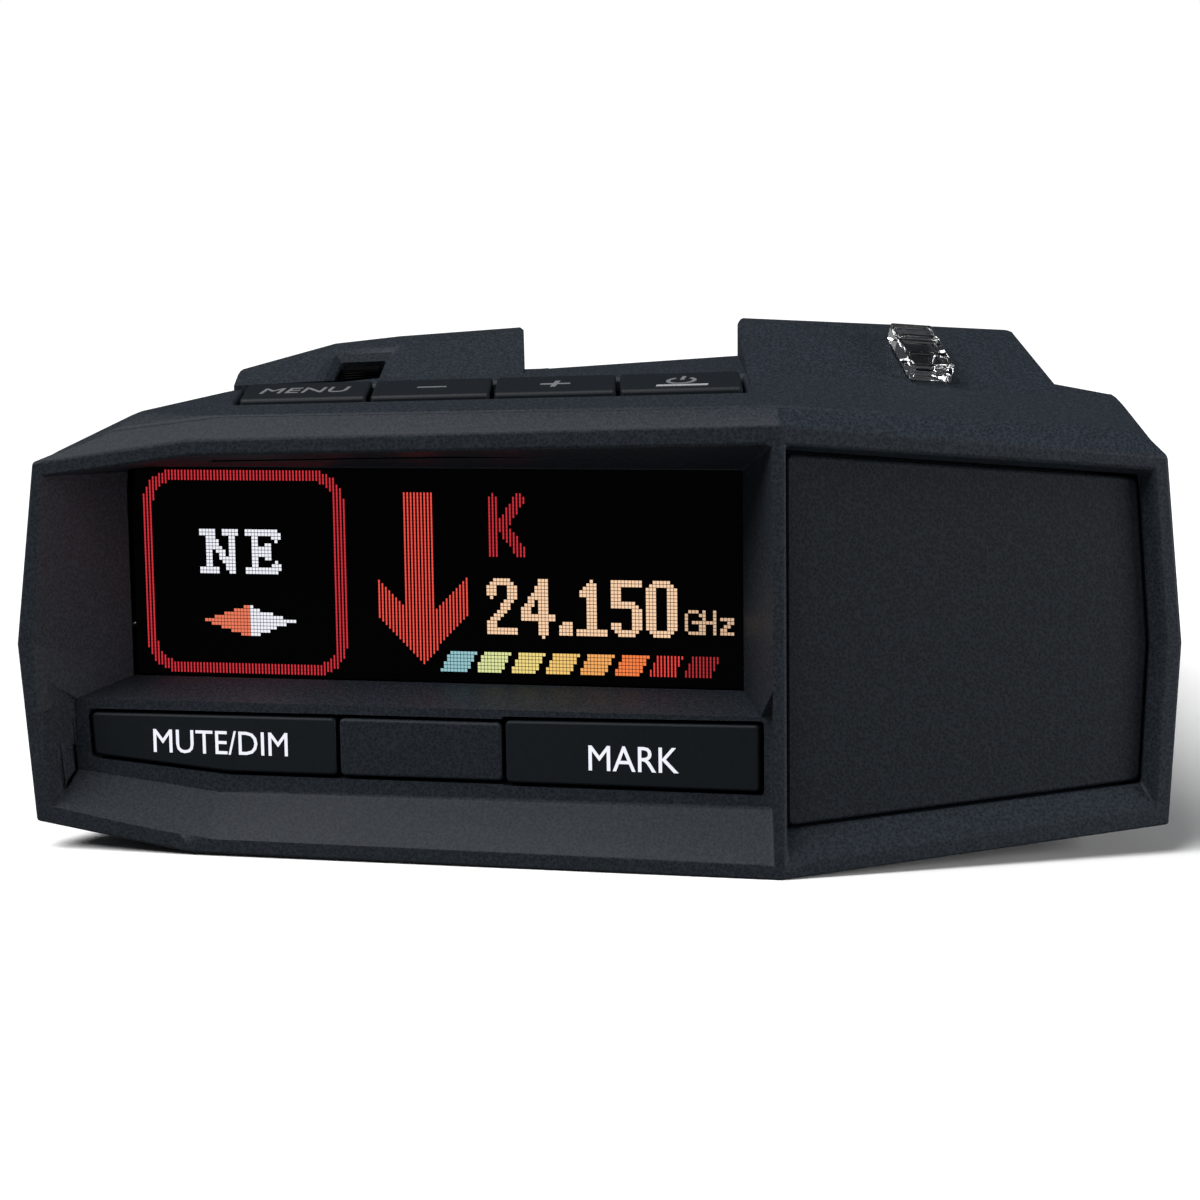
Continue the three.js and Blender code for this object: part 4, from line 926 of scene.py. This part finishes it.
# Letters and digits as strokes; each fits a cell of its own, in dots.
LETTERS = {
    "N": [[(1, 1), (4, 1)], [(3, 1), (3, 12)], [(1, 12), (5, 12)], [(3, 1.5), (9.5, 11.5)],
          [(10, 1), (10, 12)], [(8, 1), (11.5, 1)]],
    "E": [[(1, 1), (9.5, 1)], [(9.5, 1), (9.5, 3)], [(3, 1), (3, 12)], [(3, 6.5), (7, 6.5)], [(7, 5), (7, 8)],
          [(1, 12), (9.5, 12)], [(9.5, 10), (9.5, 12)]],
    "K": [[(1.5, 1), (1.5, 15.5)], [(9.2, 1), (4, 8.2), (9.6, 15.5)]],
    "2": [[(1.5, 4.5), (1.5, 3), (3, 1), (6, 1), (7.5, 3), (7.5, 5.5), (1.5, 13), (1.5, 15), (8, 15)]],
    "4": [[(6.5, 15.5), (6.5, 1), (1.2, 9.5), (1.2, 11), (8.6, 11)]],
    ".": [[(1.5, 13.5), (3, 13.5)], [(1.5, 15), (3, 15)]],
    "1": [[(2, 4), (4.5, 1.5), (4.5, 15)], [(1.5, 15), (8, 15)]],
    "5": [[(8, 1), (1.5, 1), (1.5, 7), (6, 7), (7.5, 8.5), (7.5, 13), (6, 15), (3, 15), (1.5, 13)]],
    "0": [[(3, 1), (6, 1), (7.5, 3), (7.5, 13), (6, 15), (3, 15), (1.5, 13), (1.5, 3), (3, 1)]],
    "g": [[(4.5, 1.5), (3.5, 0.5), (1.5, 0.5), (0.5, 1.5), (0.5, 5.5), (1.5, 6.5), (4.5, 6.5), (4.5, 3.5),
           (2.5, 3.5)]],
    "h": [[(0.5, 0.5), (0.5, 6.5)], [(3.5, 0.5), (3.5, 6.5)], [(0.5, 3.5), (3.5, 3.5)]],
    "z": [[(0.5, 0.5), (3.5, 0.5), (3.5, 1.5), (0.5, 3.5), (0.5, 4.5), (3.5, 4.5)]],
}


def lettering(*letters, width):
    """The dots of letters, each given as (letter, column, row) of its cell's corner."""
    dots = set()
    for letter, column, row in letters:
        strokes = [[(x + column, y + row) for x, y in stroke] for stroke in LETTERS[letter]]
        dots |= pen(strokes, width)
    return dots


FIRST_BAR, BAR_PITCH = 91.1, 10.02
BAR_TOP, BAR_FOOT = 51, 57.3
BAR_WIDTH, BAR_SLANT = 7.9, 3.1


def slanted_bar(number):
    left = FIRST_BAR + number * BAR_PITCH
    right = left + BAR_WIDTH
    top = [(left + BAR_SLANT, BAR_TOP), (right + BAR_SLANT, BAR_TOP)]
    return filled([(left, BAR_FOOT), *top, (right, BAR_FOOT)])


NARROW, WIDE = 2, 1  # columns of light lines to one dot
NARROW_MARGIN, WIDE_MARGIN = 0.012 * MM, 0.024 * MM
DOT_THICKNESS = 0.03 * MM
DOT_SUNK = 0.01 * MM
COMPASS = [(19.6, 43.6), (30, 40.2), (33.8, 39), (33.8, 48.6), (30, 47.2)]
NEEDLE = [(33.8, 39), (37.5, 40.6), (48, 43.6), (37.5, 47.2), (33.8, 48.6)]
ARROW = [(81.2, 6), (90.2, 6), (90.2, 38.8), (99.6, 30), (99.6, 41), (86.2, 55), (72.6, 41), (72.6, 30),
         (81.2, 38.8)]


def screen_content(settings):
    """Every lit shape of the display: name, dots, light lines to a dot, colour, share of full light."""
    white = (0.92, 0.93, 1.0)
    digits = [(*place, 30) for place in zip("24.150", (105, 115, 126, 131, 141, 151))]
    unit = [("g", 162, 38), ("h", 167, 38), ("z", 172, 40)]
    bars = [
        (0.30, 0.56, 0.60), (0.76, 0.80, 0.36), (0.92, 0.72, 0.24), (0.95, 0.60, 0.18),
        (0.95, 0.42, 0.12), (0.95, 0.22, 0.06), (0.85, 0.06, 0.05), (0.46, 0.025, 0.035),
    ]
    yield "alert_frame", rounded_frame(2.2, 0.0, 63.6, 59.0, 9.5, 3.3), NARROW, settings.alert, 1.0
    yield "heading_letters", lettering(("N", 19, 17), ("E", 33, 17), width=2.2), WIDE, white, 1.0
    yield "compass_tail", filled(COMPASS), WIDE, (0.95, 0.22, 0.12), 0.9
    yield "compass_needle", filled(NEEDLE), WIDE, white, 1.0
    yield "direction_arrow", filled(ARROW), NARROW, settings.arrow, 1.0
    yield "band_letter", lettering(("K", 106, 7), width=3.4), NARROW, settings.alert, 0.95
    yield "frequency_digits", lettering(*digits, width=2.4), WIDE, settings.reading, 1.0
    yield "frequency_unit", lettering(*unit, width=1.3), WIDE, settings.reading, 0.7
    for number, colour in enumerate(bars):
        lines = NARROW if number in (6, 7) else WIDE
        yield f"signal_bar_{number + 1}", slanted_bar(number), lines, colour, 1.0


def light_dots(name, dots, lines):
    """Separate small plates for the lit dots, on the front of the display, in the frame of its side."""
    wide = (SCREEN_RIGHT - SCREEN_LEFT) / COLUMNS
    tall = (SCREEN_TOP - SCREEN_BOTTOM) / ROWS
    columns, rows = zip(*dots)
    first_column, first_row = min(columns), min(rows)
    across = max(columns) - first_column + 1
    down = max(rows) - first_row + 1
    piece = added(
        name, bpy.ops.mesh.primitive_grid_add, x_subdivisions=across * lines, y_subdivisions=down, size=1
    )
    piece.data.transform(Matrix.Translation((0.5, -0.5, 0)))
    piece.data.transform(Matrix.Diagonal((across, down, 1, 1)))
    edit()

    def unlit(centre, normal):
        place = centre.x + first_column
        dot = (math.floor(place), math.floor(-centre.y) + first_row)
        return dot not in dots or (lines == NARROW and place % 1 > 0.5)

    pick(piece, "FACE", unlit)
    bpy.ops.mesh.delete(type="FACE")
    done()
    scaled = Matrix.Diagonal((wide, tall, 1, 1))
    piece.data.transform(Matrix.Translation((first_column * wide, -first_row * tall, 0)) @ scaled)
    edit_all()
    margin = NARROW_MARGIN if lines == NARROW else WIDE_MARGIN
    bpy.ops.mesh.inset(thickness=margin, use_individual=True, use_boundary=True)
    bpy.ops.mesh.select_all(action="INVERT")
    bpy.ops.mesh.delete(type="FACE")
    done()
    return thickened(piece, DOT_THICKNESS)


class DETECTOR_OT_screen(bpy.types.Operator):
    """Build the display's window and everything that is lit on it"""

    bl_idname = "detector.screen"
    bl_label = "Display"

    def execute(self, context):
        settings = context.scene.detector_screen
        window = bevelled(copy_of("display_window", "screen_window"), 0.1 * MM, rounded=True)
        smoked = smoked_plastic("smoked window")
        finish_piece(window, Matrix(), smoked, "smoked_plastic", "root", "display_window")
        corner = Matrix.Translation((SCREEN_LEFT, SCREEN_DEPTH - DOT_SUNK, SCREEN_TOP))
        finishes = {}
        for name, dots, lines, colour, share in screen_content(settings):
            piece = light_dots(name, dots, lines)
            key = (tuple(colour), share)
            if key not in finishes:
                label = f"light of {name}".replace("_", " ")
                finishes[key] = light(label, tuple(colour), settings.strength * share)
            finish_piece(piece, DISPLAY_SIDE @ corner @ FACING, finishes[key], "display_glass", "root")
        return {"FINISHED"}


# The front slopes of the two humps, beside the bracket channel.
RIGHT_FALL = 0.092
GUIDE_FOOT = (12.2 * MM, -45.5 * MM)
GUIDE_FAR_FOOT = (36.9 * MM, -40.3 * MM)
GUIDE_RIDGE = (11.8 * MM, -36.5 * MM, 39.9 * MM)
SENSOR_FOOT = (-28 * MM, -35.4 * MM)
SENSOR_FAR_FOOT = (-4.9 * MM, -38.6 * MM)
SENSOR_RIDGE = (-4.9 * MM, -31.1 * MM, 39.2 * MM)


def on_deck(spot):
    x, y = spot
    return Vector((x, y, deck_height(x, y, DECK_FALL if x < CREASE_X else RIGHT_FALL)))


RIGHT_SLOPE = slope_place(on_deck(GUIDE_FOOT), on_deck(GUIDE_FAR_FOOT), Vector(GUIDE_RIDGE))
LEFT_SLOPE = slope_place(on_deck(SENSOR_FOOT), on_deck(SENSOR_FAR_FOOT), Vector(SENSOR_RIDGE))


class DETECTOR_OT_light_parts(bpy.types.Operator):
    """Build the clear light guide, the ribbed sensor window and the road-end lens"""

    bl_idname = "detector.light_parts"
    bl_label = "Light guide, sensor window and lens"

    def execute(self, context):
        self.light_guide()
        self.sensor_window()
        lens = bevelled(copy_of("road_lens", "road_window"), 0.45 * MM, segments=4, rounded=True)
        finish_piece(lens, Matrix(), smoked_plastic("smoked lens"), "smoked_plastic", "root", "road_lens")
        return {"FINISHED"}

    def light_guide(self):
        """A clear block with two notches across it, a framed near end, and a stem into the hump."""
        x0, x1, y0, y1, foot, top = [v * MM for v in (12.9, 16.3, 0.9, 7.9, 0.15, 1.6)]
        notches = [(2.4 * MM, 2.9 * MM), (5.2 * MM, 5.7 * MM)]
        notch_rim, notch_depth = 0.22 * MM, 0.5 * MM
        frame_rim, frame_depth = 0.4 * MM, 0.45 * MM
        dish_rim, dish_depth = 0.45 * MM, 0.22 * MM
        stem_rim, stem_length = 0.7 * MM, 3.4 * MM
        middle_front, middle_back = 3 * MM, notches[1][0]

        guide = block("clear_light_guide", (x0, y0, foot), (x1, y1, top))
        for y in (y for notch in notches for y in notch):
            bisected(guide, (0, y, 0), (0, 1, 0))

        def middle(centre):
            return middle_front < centre.y < middle_back

        pick(guide, "FACE", lambda c, n: n.z > 0.9 and any(a < c.y < b for a, b in notches))
        bpy.ops.mesh.inset(thickness=notch_rim, use_boundary=True)
        bpy.ops.transform.translate(value=(0, 0, -notch_depth))
        pick(guide, "FACE", lambda c, n: n.y < -0.9)
        bpy.ops.mesh.inset(thickness=frame_rim)
        bpy.ops.transform.translate(value=(0, frame_depth, 0))
        pick(guide, "FACE", lambda c, n: n.z > 0.9 and middle(c))
        bpy.ops.mesh.inset(thickness=dish_rim)
        bpy.ops.transform.translate(value=(0, 0, -dish_depth))
        pick(guide, "FACE", lambda c, n: n.z < -0.9 and middle(c))
        bpy.ops.mesh.inset(thickness=stem_rim)
        pulled(-stem_length)
        done()
        bevelled(guide, 0.14 * MM)
        clear = clear_plastic("clear guide")
        finish_piece(guide, RIGHT_SLOPE, clear, "clear_plastic", "root", "laser_light_guide")

    def sensor_window(self):
        """A dark window whose lower half has fine ribs."""
        x0, x1, y0, y1, foot, top = [v * MM for v in (8.0, 10.9, 1.6, 4.7, -1.9, -1.0)]
        window = block("ribbed_sensor_window", (x0, y0, foot), (x1, y1, top))
        lines, pitch, rib_height = 8, 0.22 * MM, 0.16 * MM
        for line in range(1, lines + 1):
            bisected(window, (0, y0 + line * pitch, 0), (0, 1, 0))

        def rib(centre, normal):
            line = int((centre.y - y0) / pitch)
            return normal.z > 0.9 and line < lines and line % 2 == 1

        pick(window, "FACE", rib)
        pulled(rib_height)
        done()
        bevelled(window, 0.03 * MM, segments=1)
        dark = smoked_plastic("smoked sensor")
        finish_piece(window, LEFT_SLOPE, dark, "smoked_plastic", "root", "light_sensor_window")


def cross_cutter(name, reach, half, depth):
    """A cross-shaped plug that tapers downwards, to cut a screw recess."""
    bar = block(name, (-reach, -half, -depth), (reach, half, depth))
    for x in (-half, half):
        bisected(bar, (x, 0, 0), (1, 0, 0))
    pick(bar, "FACE", lambda c, n: abs(n.y) > 0.9 and abs(c.x) < half)
    bpy.ops.mesh.extrude_region_shrink_fatten(TRANSFORM_OT_shrink_fatten={"value": reach - half})
    pick(bar, "FACE", lambda c, n: n.z > 0.9)
    bpy.ops.transform.resize(value=(0.45, 0.45, 1))
    done()
    return bar


class DETECTOR_OT_fasteners(bpy.types.Operator):
    """Build the case screws, with cross recesses and ridged shanks"""

    bl_idname = "detector.fasteners"
    bl_label = "Case screws"

    def execute(self, context):
        steel = metal("black oxide", (0.055, 0.056, 0.06), 0.38, tarnish=0.5)
        model = self.screw()
        for node in sorted(n for n in frame["nodes"] if n.startswith("case_screw_")):
            low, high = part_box(node)
            piece = with_mesh(node.replace("case_screw", "cross_screw"), model.data)
            spot = Matrix.Translation(((low.x + high.x) / 2, (low.y + high.y) / 2, low.z))
            finish_piece(piece, spot, steel, "black_steel", "root", node)
        bpy.data.objects.remove(model)
        return {"FINISHED"}

    def screw(self):
        """One screw, head down on the origin."""
        low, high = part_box("case_screw_front_left")
        length = high.z - low.z
        head = (high.x - low.x) / 2
        shank, head_depth, head_edge = 1.3 * MM, 1.9 * MM, 0.4 * MM
        ridge, waist, tip = 0.55 * MM, 0.8, 0.4
        piece = added(
            "screw_model", bpy.ops.mesh.primitive_cylinder_add, vertices=32, radius=head, depth=head_depth
        )
        piece.data.transform(Matrix.Translation((0, 0, head_depth / 2)))
        edit()
        pick(piece, "FACE", lambda c, n: n.z > 0.9)
        bpy.ops.mesh.inset(thickness=head - shank)
        ridges = int((length - head_depth) / ridge) - 1
        rings = [(ridge / 2, waist), (ridge / 2, 1 / waist)] * ridges + [(ridge, tip)]
        for height, share in rings:
            pulled(height)
            bpy.ops.transform.resize(value=(share, share, 1))
        pick(piece, "FACE", lambda c, n: n.z < -0.9)
        bpy.ops.mesh.bevel(offset=head_edge, segments=3, affect="EDGES")
        done()
        cutter = cross_cutter("recess_cutter", 1.35 * MM, 0.3 * MM, 1.1 * MM)
        recess = piece.modifiers.new("recess", "BOOLEAN")
        recess.operation = "DIFFERENCE"
        recess.solver = "EXACT"
        recess.object = cutter
        apply_modifiers(piece)
        bpy.data.objects.remove(cutter)
        smooth(piece)
        return piece


class DETECTOR_OT_latch(bpy.types.Operator):
    """Build the bracket latch with its grip ribs, and its spring"""

    bl_idname = "detector.latch"
    bl_label = "Bracket latch"

    def execute(self, context):
        satin = key_plastic("satin latch", context.scene.detector_keys)
        finish_piece(self.tongue(), Matrix(), satin, "key_plastic", "bracket_latch_body", "bracket_latch")
        self.coil()
        return {"FINISHED"}

    def tongue(self):
        """The latch with ribs across it for a fingertip."""
        body = bevelled(copy_of("bracket_latch", "channel_latch"), 0.25 * MM, segments=3)
        low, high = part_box("bracket_latch")
        middle = (low + high) / 2
        ribs, pitch, depth, half = 4, 1.5 * MM, 0.7 * MM, 2.6 * MM
        foot, top = high.z - 0.6 * MM, high.z - 0.01 * MM
        grips = []
        for number in range(ribs):
            y = middle.y + (number - (ribs - 1) / 2) * pitch
            grip = block(f"grip_{number}", (middle.x - half, y, foot), (middle.x + half, y + depth, top))
            grips.append(bevelled(grip, 0.15 * MM))
        return joined(body, *grips)

    def coil(self):
        """The spring under the latch."""
        node = "latch_spring"
        wire = metal("spring wire", (0.5, 0.5, 0.51), 0.3)
        spring = finish_piece(copy_of(node, "latch_coil"), Matrix(), wire, slot_of(node), "root", node)
        foot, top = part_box(node)
        height = top.z - foot.z
        travel = next(j["range_m"][1] for j in frame["joints"] if j["name"] == "latch_press")
        (height - travel) / height
        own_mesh(spring)


class DETECTOR_OT_sockets(bpy.types.Operator):
    """Build the power, audio and data sockets"""

    bl_idname = "detector.sockets"
    bl_label = "Sockets"

    def execute(self, context):
        plastic = key_plastic("satin socket", context.scene.detector_keys, tone=0.8)
        steel = metal("plated shell", (0.6, 0.6, 0.59), 0.28)
        for node, name, look, slot in (
            ("power_jack", "power_socket", plastic, "key_plastic"),
            ("audio_jack", "audio_socket", plastic, "key_plastic"),
            ("usb_port", "data_socket", steel, "tinned_steel"),
        ):
            piece = bevelled(copy_of(node, name), 0.12 * MM, rounded=True)
            finish_piece(piece, Matrix(), look, slot, "root", node)
        return {"FINISHED"}


def slot_of(node):
    return next(p["material_slot"] for p in frame["record"]["subparts"] if p["node"] == node)


class DETECTOR_OT_inside(bpy.types.Operator):
    """Give the parts that stay as they are in the frame their finishes"""

    bl_idname = "detector.inside"
    bl_label = "Inner parts"

    def execute(self, context):
        low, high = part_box("speaker")
        label_low, label_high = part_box("rating_label_blank")
        finishes = {
            "case_plastic": case_plastic("inner charcoal", context.scene.detector_case),
            "key_plastic": key_plastic("inner satin", context.scene.detector_keys),
            "smoked_plastic": smoked_plastic("inner smoked"),
            "clear_plastic": clear_plastic("clear lens"),
            "display_glass": display_glass("black glass"),
            "circuit_board": circuit_board("green board"),
            "bare_metal": metal("cast metal", (0.72, 0.73, 0.74), 0.4),
            "tinned_steel": metal("tinned sheet", (0.62, 0.63, 0.64), 0.32, lay=(1.0, 0.08, 1.0)),
            "black_steel": metal("blackened steel", (0.055, 0.056, 0.06), 0.4, tarnish=0.5),
            "ceramic": ceramic("fired ceramic"),
            "speaker_cone": cone_paper("pressed paper", (low + high) / 2),
            "label_film": label_film("blank label film", label_low, label_high),
        }
        for node, piece in frame["nodes"].items():
            if not piece.hide_render:
                piece.data.materials.clear()
                piece.data.materials.append(finishes[slot_of(node)])
        return {"FINISHED"}


CAMERA_SPOT = Vector((2.51, -241.49, 44.88)) * MM
CAMERA_RIGHT = Vector((0.99989299, 0.00675204, -0.01297761))
CAMERA_UP = Vector((0.01198481, 0.13062109, 0.99135992))
CAMERA_SENSOR = 36
FLOOR_SIZE = 40
OVERHEAD_DIRECTION = Vector((0.62, 0.3, -1.0))
OVERHEAD_SPREAD = math.radians(50)
# Each soft light as its name, place, target and size.
FILL = ("right_softbox", (0.72, -0.3, 0.14), (0, 0, 0.02), 0.3)
GLOW = ("screen_glow", (-0.026, -0.0445, 0.022), (-0.036, -0.052, 0.016), 0.012)
GLOW_POWER = 0.00045
GLOW_COLOUR = (1.0, 0.12, 0.12)


class DETECTOR_OT_stage(bpy.types.Operator):
    """Build the pale floor, the lights and the camera"""

    bl_idname = "detector.stage"
    bl_label = "Studio"

    def execute(self, context):
        settings = context.scene.detector_stage
        self.floor()
        self.overhead(settings)
        self.softbox(*FILL, settings.fill_power)
        self.softbox(*GLOW, GLOW_POWER, GLOW_COLOUR)
        self.surroundings(context, settings)
        self.camera(context, settings)
        return {"FINISHED"}

    def floor(self):
        """A wide pale sheet under the object."""
        sheet = added("studio_floor", bpy.ops.mesh.primitive_plane_add, size=FLOOR_SIZE)
        sheet.data.transform(Matrix.Translation((0, 0, cad_low.z)))
        sheet.data.materials.append(studio_paper("studio paper"))

    def overhead(self, settings):
        """A wide soft light above the object, a little to its left."""
        lamp = added("overhead_light", bpy.ops.object.light_add, type="SUN")
        lamp.rotation_euler = OVERHEAD_DIRECTION.to_track_quat("-Z", "Y").to_euler()
        lamp.data.energy = settings.overhead_strength
        lamp.data.angle = OVERHEAD_SPREAD

    def softbox(self, name, spot, target, size, power, colour=(1.0, 1.0, 1.0)):
        lamp = added(name, bpy.ops.object.light_add, type="AREA", location=spot)
        lamp.rotation_euler = (Vector(target) - Vector(spot)).to_track_quat("-Z", "Y").to_euler()
        lamp.data.size = size
        lamp.data.energy = power
        lamp.data.color = colour

    def surroundings(self, context, settings):
        """Dim light from all round, in front of a white background."""
        world = bpy.data.worlds.new("studio")
        context.scene.world = world
        world.use_nodes = True
        nodes, links = world.node_tree.nodes, world.node_tree.links
        dim = nodes["Background"]
        dim.inputs["Color"].default_value = (0.93, 0.96, 1.0, 1.0)
        dim.inputs["Strength"].default_value = settings.surroundings
        white = nodes.new("ShaderNodeBackground")
        white.inputs["Color"].default_value = (1.0, 1.0, 1.0, 1.0)
        path = nodes.new("ShaderNodeLightPath")
        mix = nodes.new("ShaderNodeMixShader")
        links.new(path.outputs["Is Camera Ray"], mix.inputs["Fac"])
        links.new(dim.outputs["Background"], mix.inputs[1])
        links.new(white.outputs["Background"], mix.inputs[2])
        links.new(mix.outputs["Shader"], nodes["World Output"].inputs["Surface"])

    def camera(self, context, settings):
        backward = CAMERA_RIGHT.cross(CAMERA_UP)
        turn = Matrix((CAMERA_RIGHT, CAMERA_UP, backward)).transposed().to_4x4()
        camera = added("camera", bpy.ops.object.camera_add)
        camera.matrix_world = Matrix.Translation(CAMERA_SPOT) @ turn
        camera.data.lens = settings.lens
        camera.data.sensor_width = CAMERA_SENSOR
        camera.data.clip_start = 0.01
        camera.data.clip_end = 20
        context.scene.camera = camera
        context.scene.view_settings.view_transform = "Standard"


# ---- Panel and registration ----------------------------------------------------------------------------

OPERATORS = (
    DETECTOR_OT_case,
    DETECTOR_OT_top_keys,
    DETECTOR_OT_front_keys,
    DETECTOR_OT_screen,
    DETECTOR_OT_light_parts,
    DETECTOR_OT_fasteners,
    DETECTOR_OT_latch,
    DETECTOR_OT_sockets,
    DETECTOR_OT_inside,
    DETECTOR_OT_stage,
)
SETTINGS = {
    "detector_case": CaseSettings,
    "detector_keys": KeySettings,
    "detector_screen": ScreenSettings,
    "detector_stage": StageSettings,
}


class DETECTOR_PT_sidebar(bpy.types.Panel):
    """The detector's settings and the steps that build it"""

    bl_idname = "DETECTOR_PT_sidebar"
    bl_label = "Radar detector"
    bl_space_type = "VIEW_3D"
    bl_region_type = "UI"
    bl_category = "Detector"

    def draw(self, context):
        for attribute, group in SETTINGS.items():
            box = self.layout.box()
            for key in group.__annotations__:
                box.prop(getattr(context.scene, attribute), key)
        for operator in OPERATORS:
            self.layout.operator(operator.bl_idname)


def register():
    for group in SETTINGS.values():
        bpy.utils.register_class(group)
    for cls in (*OPERATORS, DETECTOR_PT_sidebar):
        bpy.utils.register_class(cls)
    for attribute, group in SETTINGS.items():
        setattr(bpy.types.Scene, attribute, PointerProperty(type=group))


def unregister():
    for attribute in SETTINGS:
        delattr(bpy.types.Scene, attribute)
    for cls in (DETECTOR_PT_sidebar, *reversed(OPERATORS), *SETTINGS.values()):
        bpy.utils.unregister_class(cls)


def main():
    register()
    for operator in OPERATORS:
        getattr(bpy.ops.detector, operator.bl_idname.split(".")[1])()


if __name__ == "__main__":
    main()
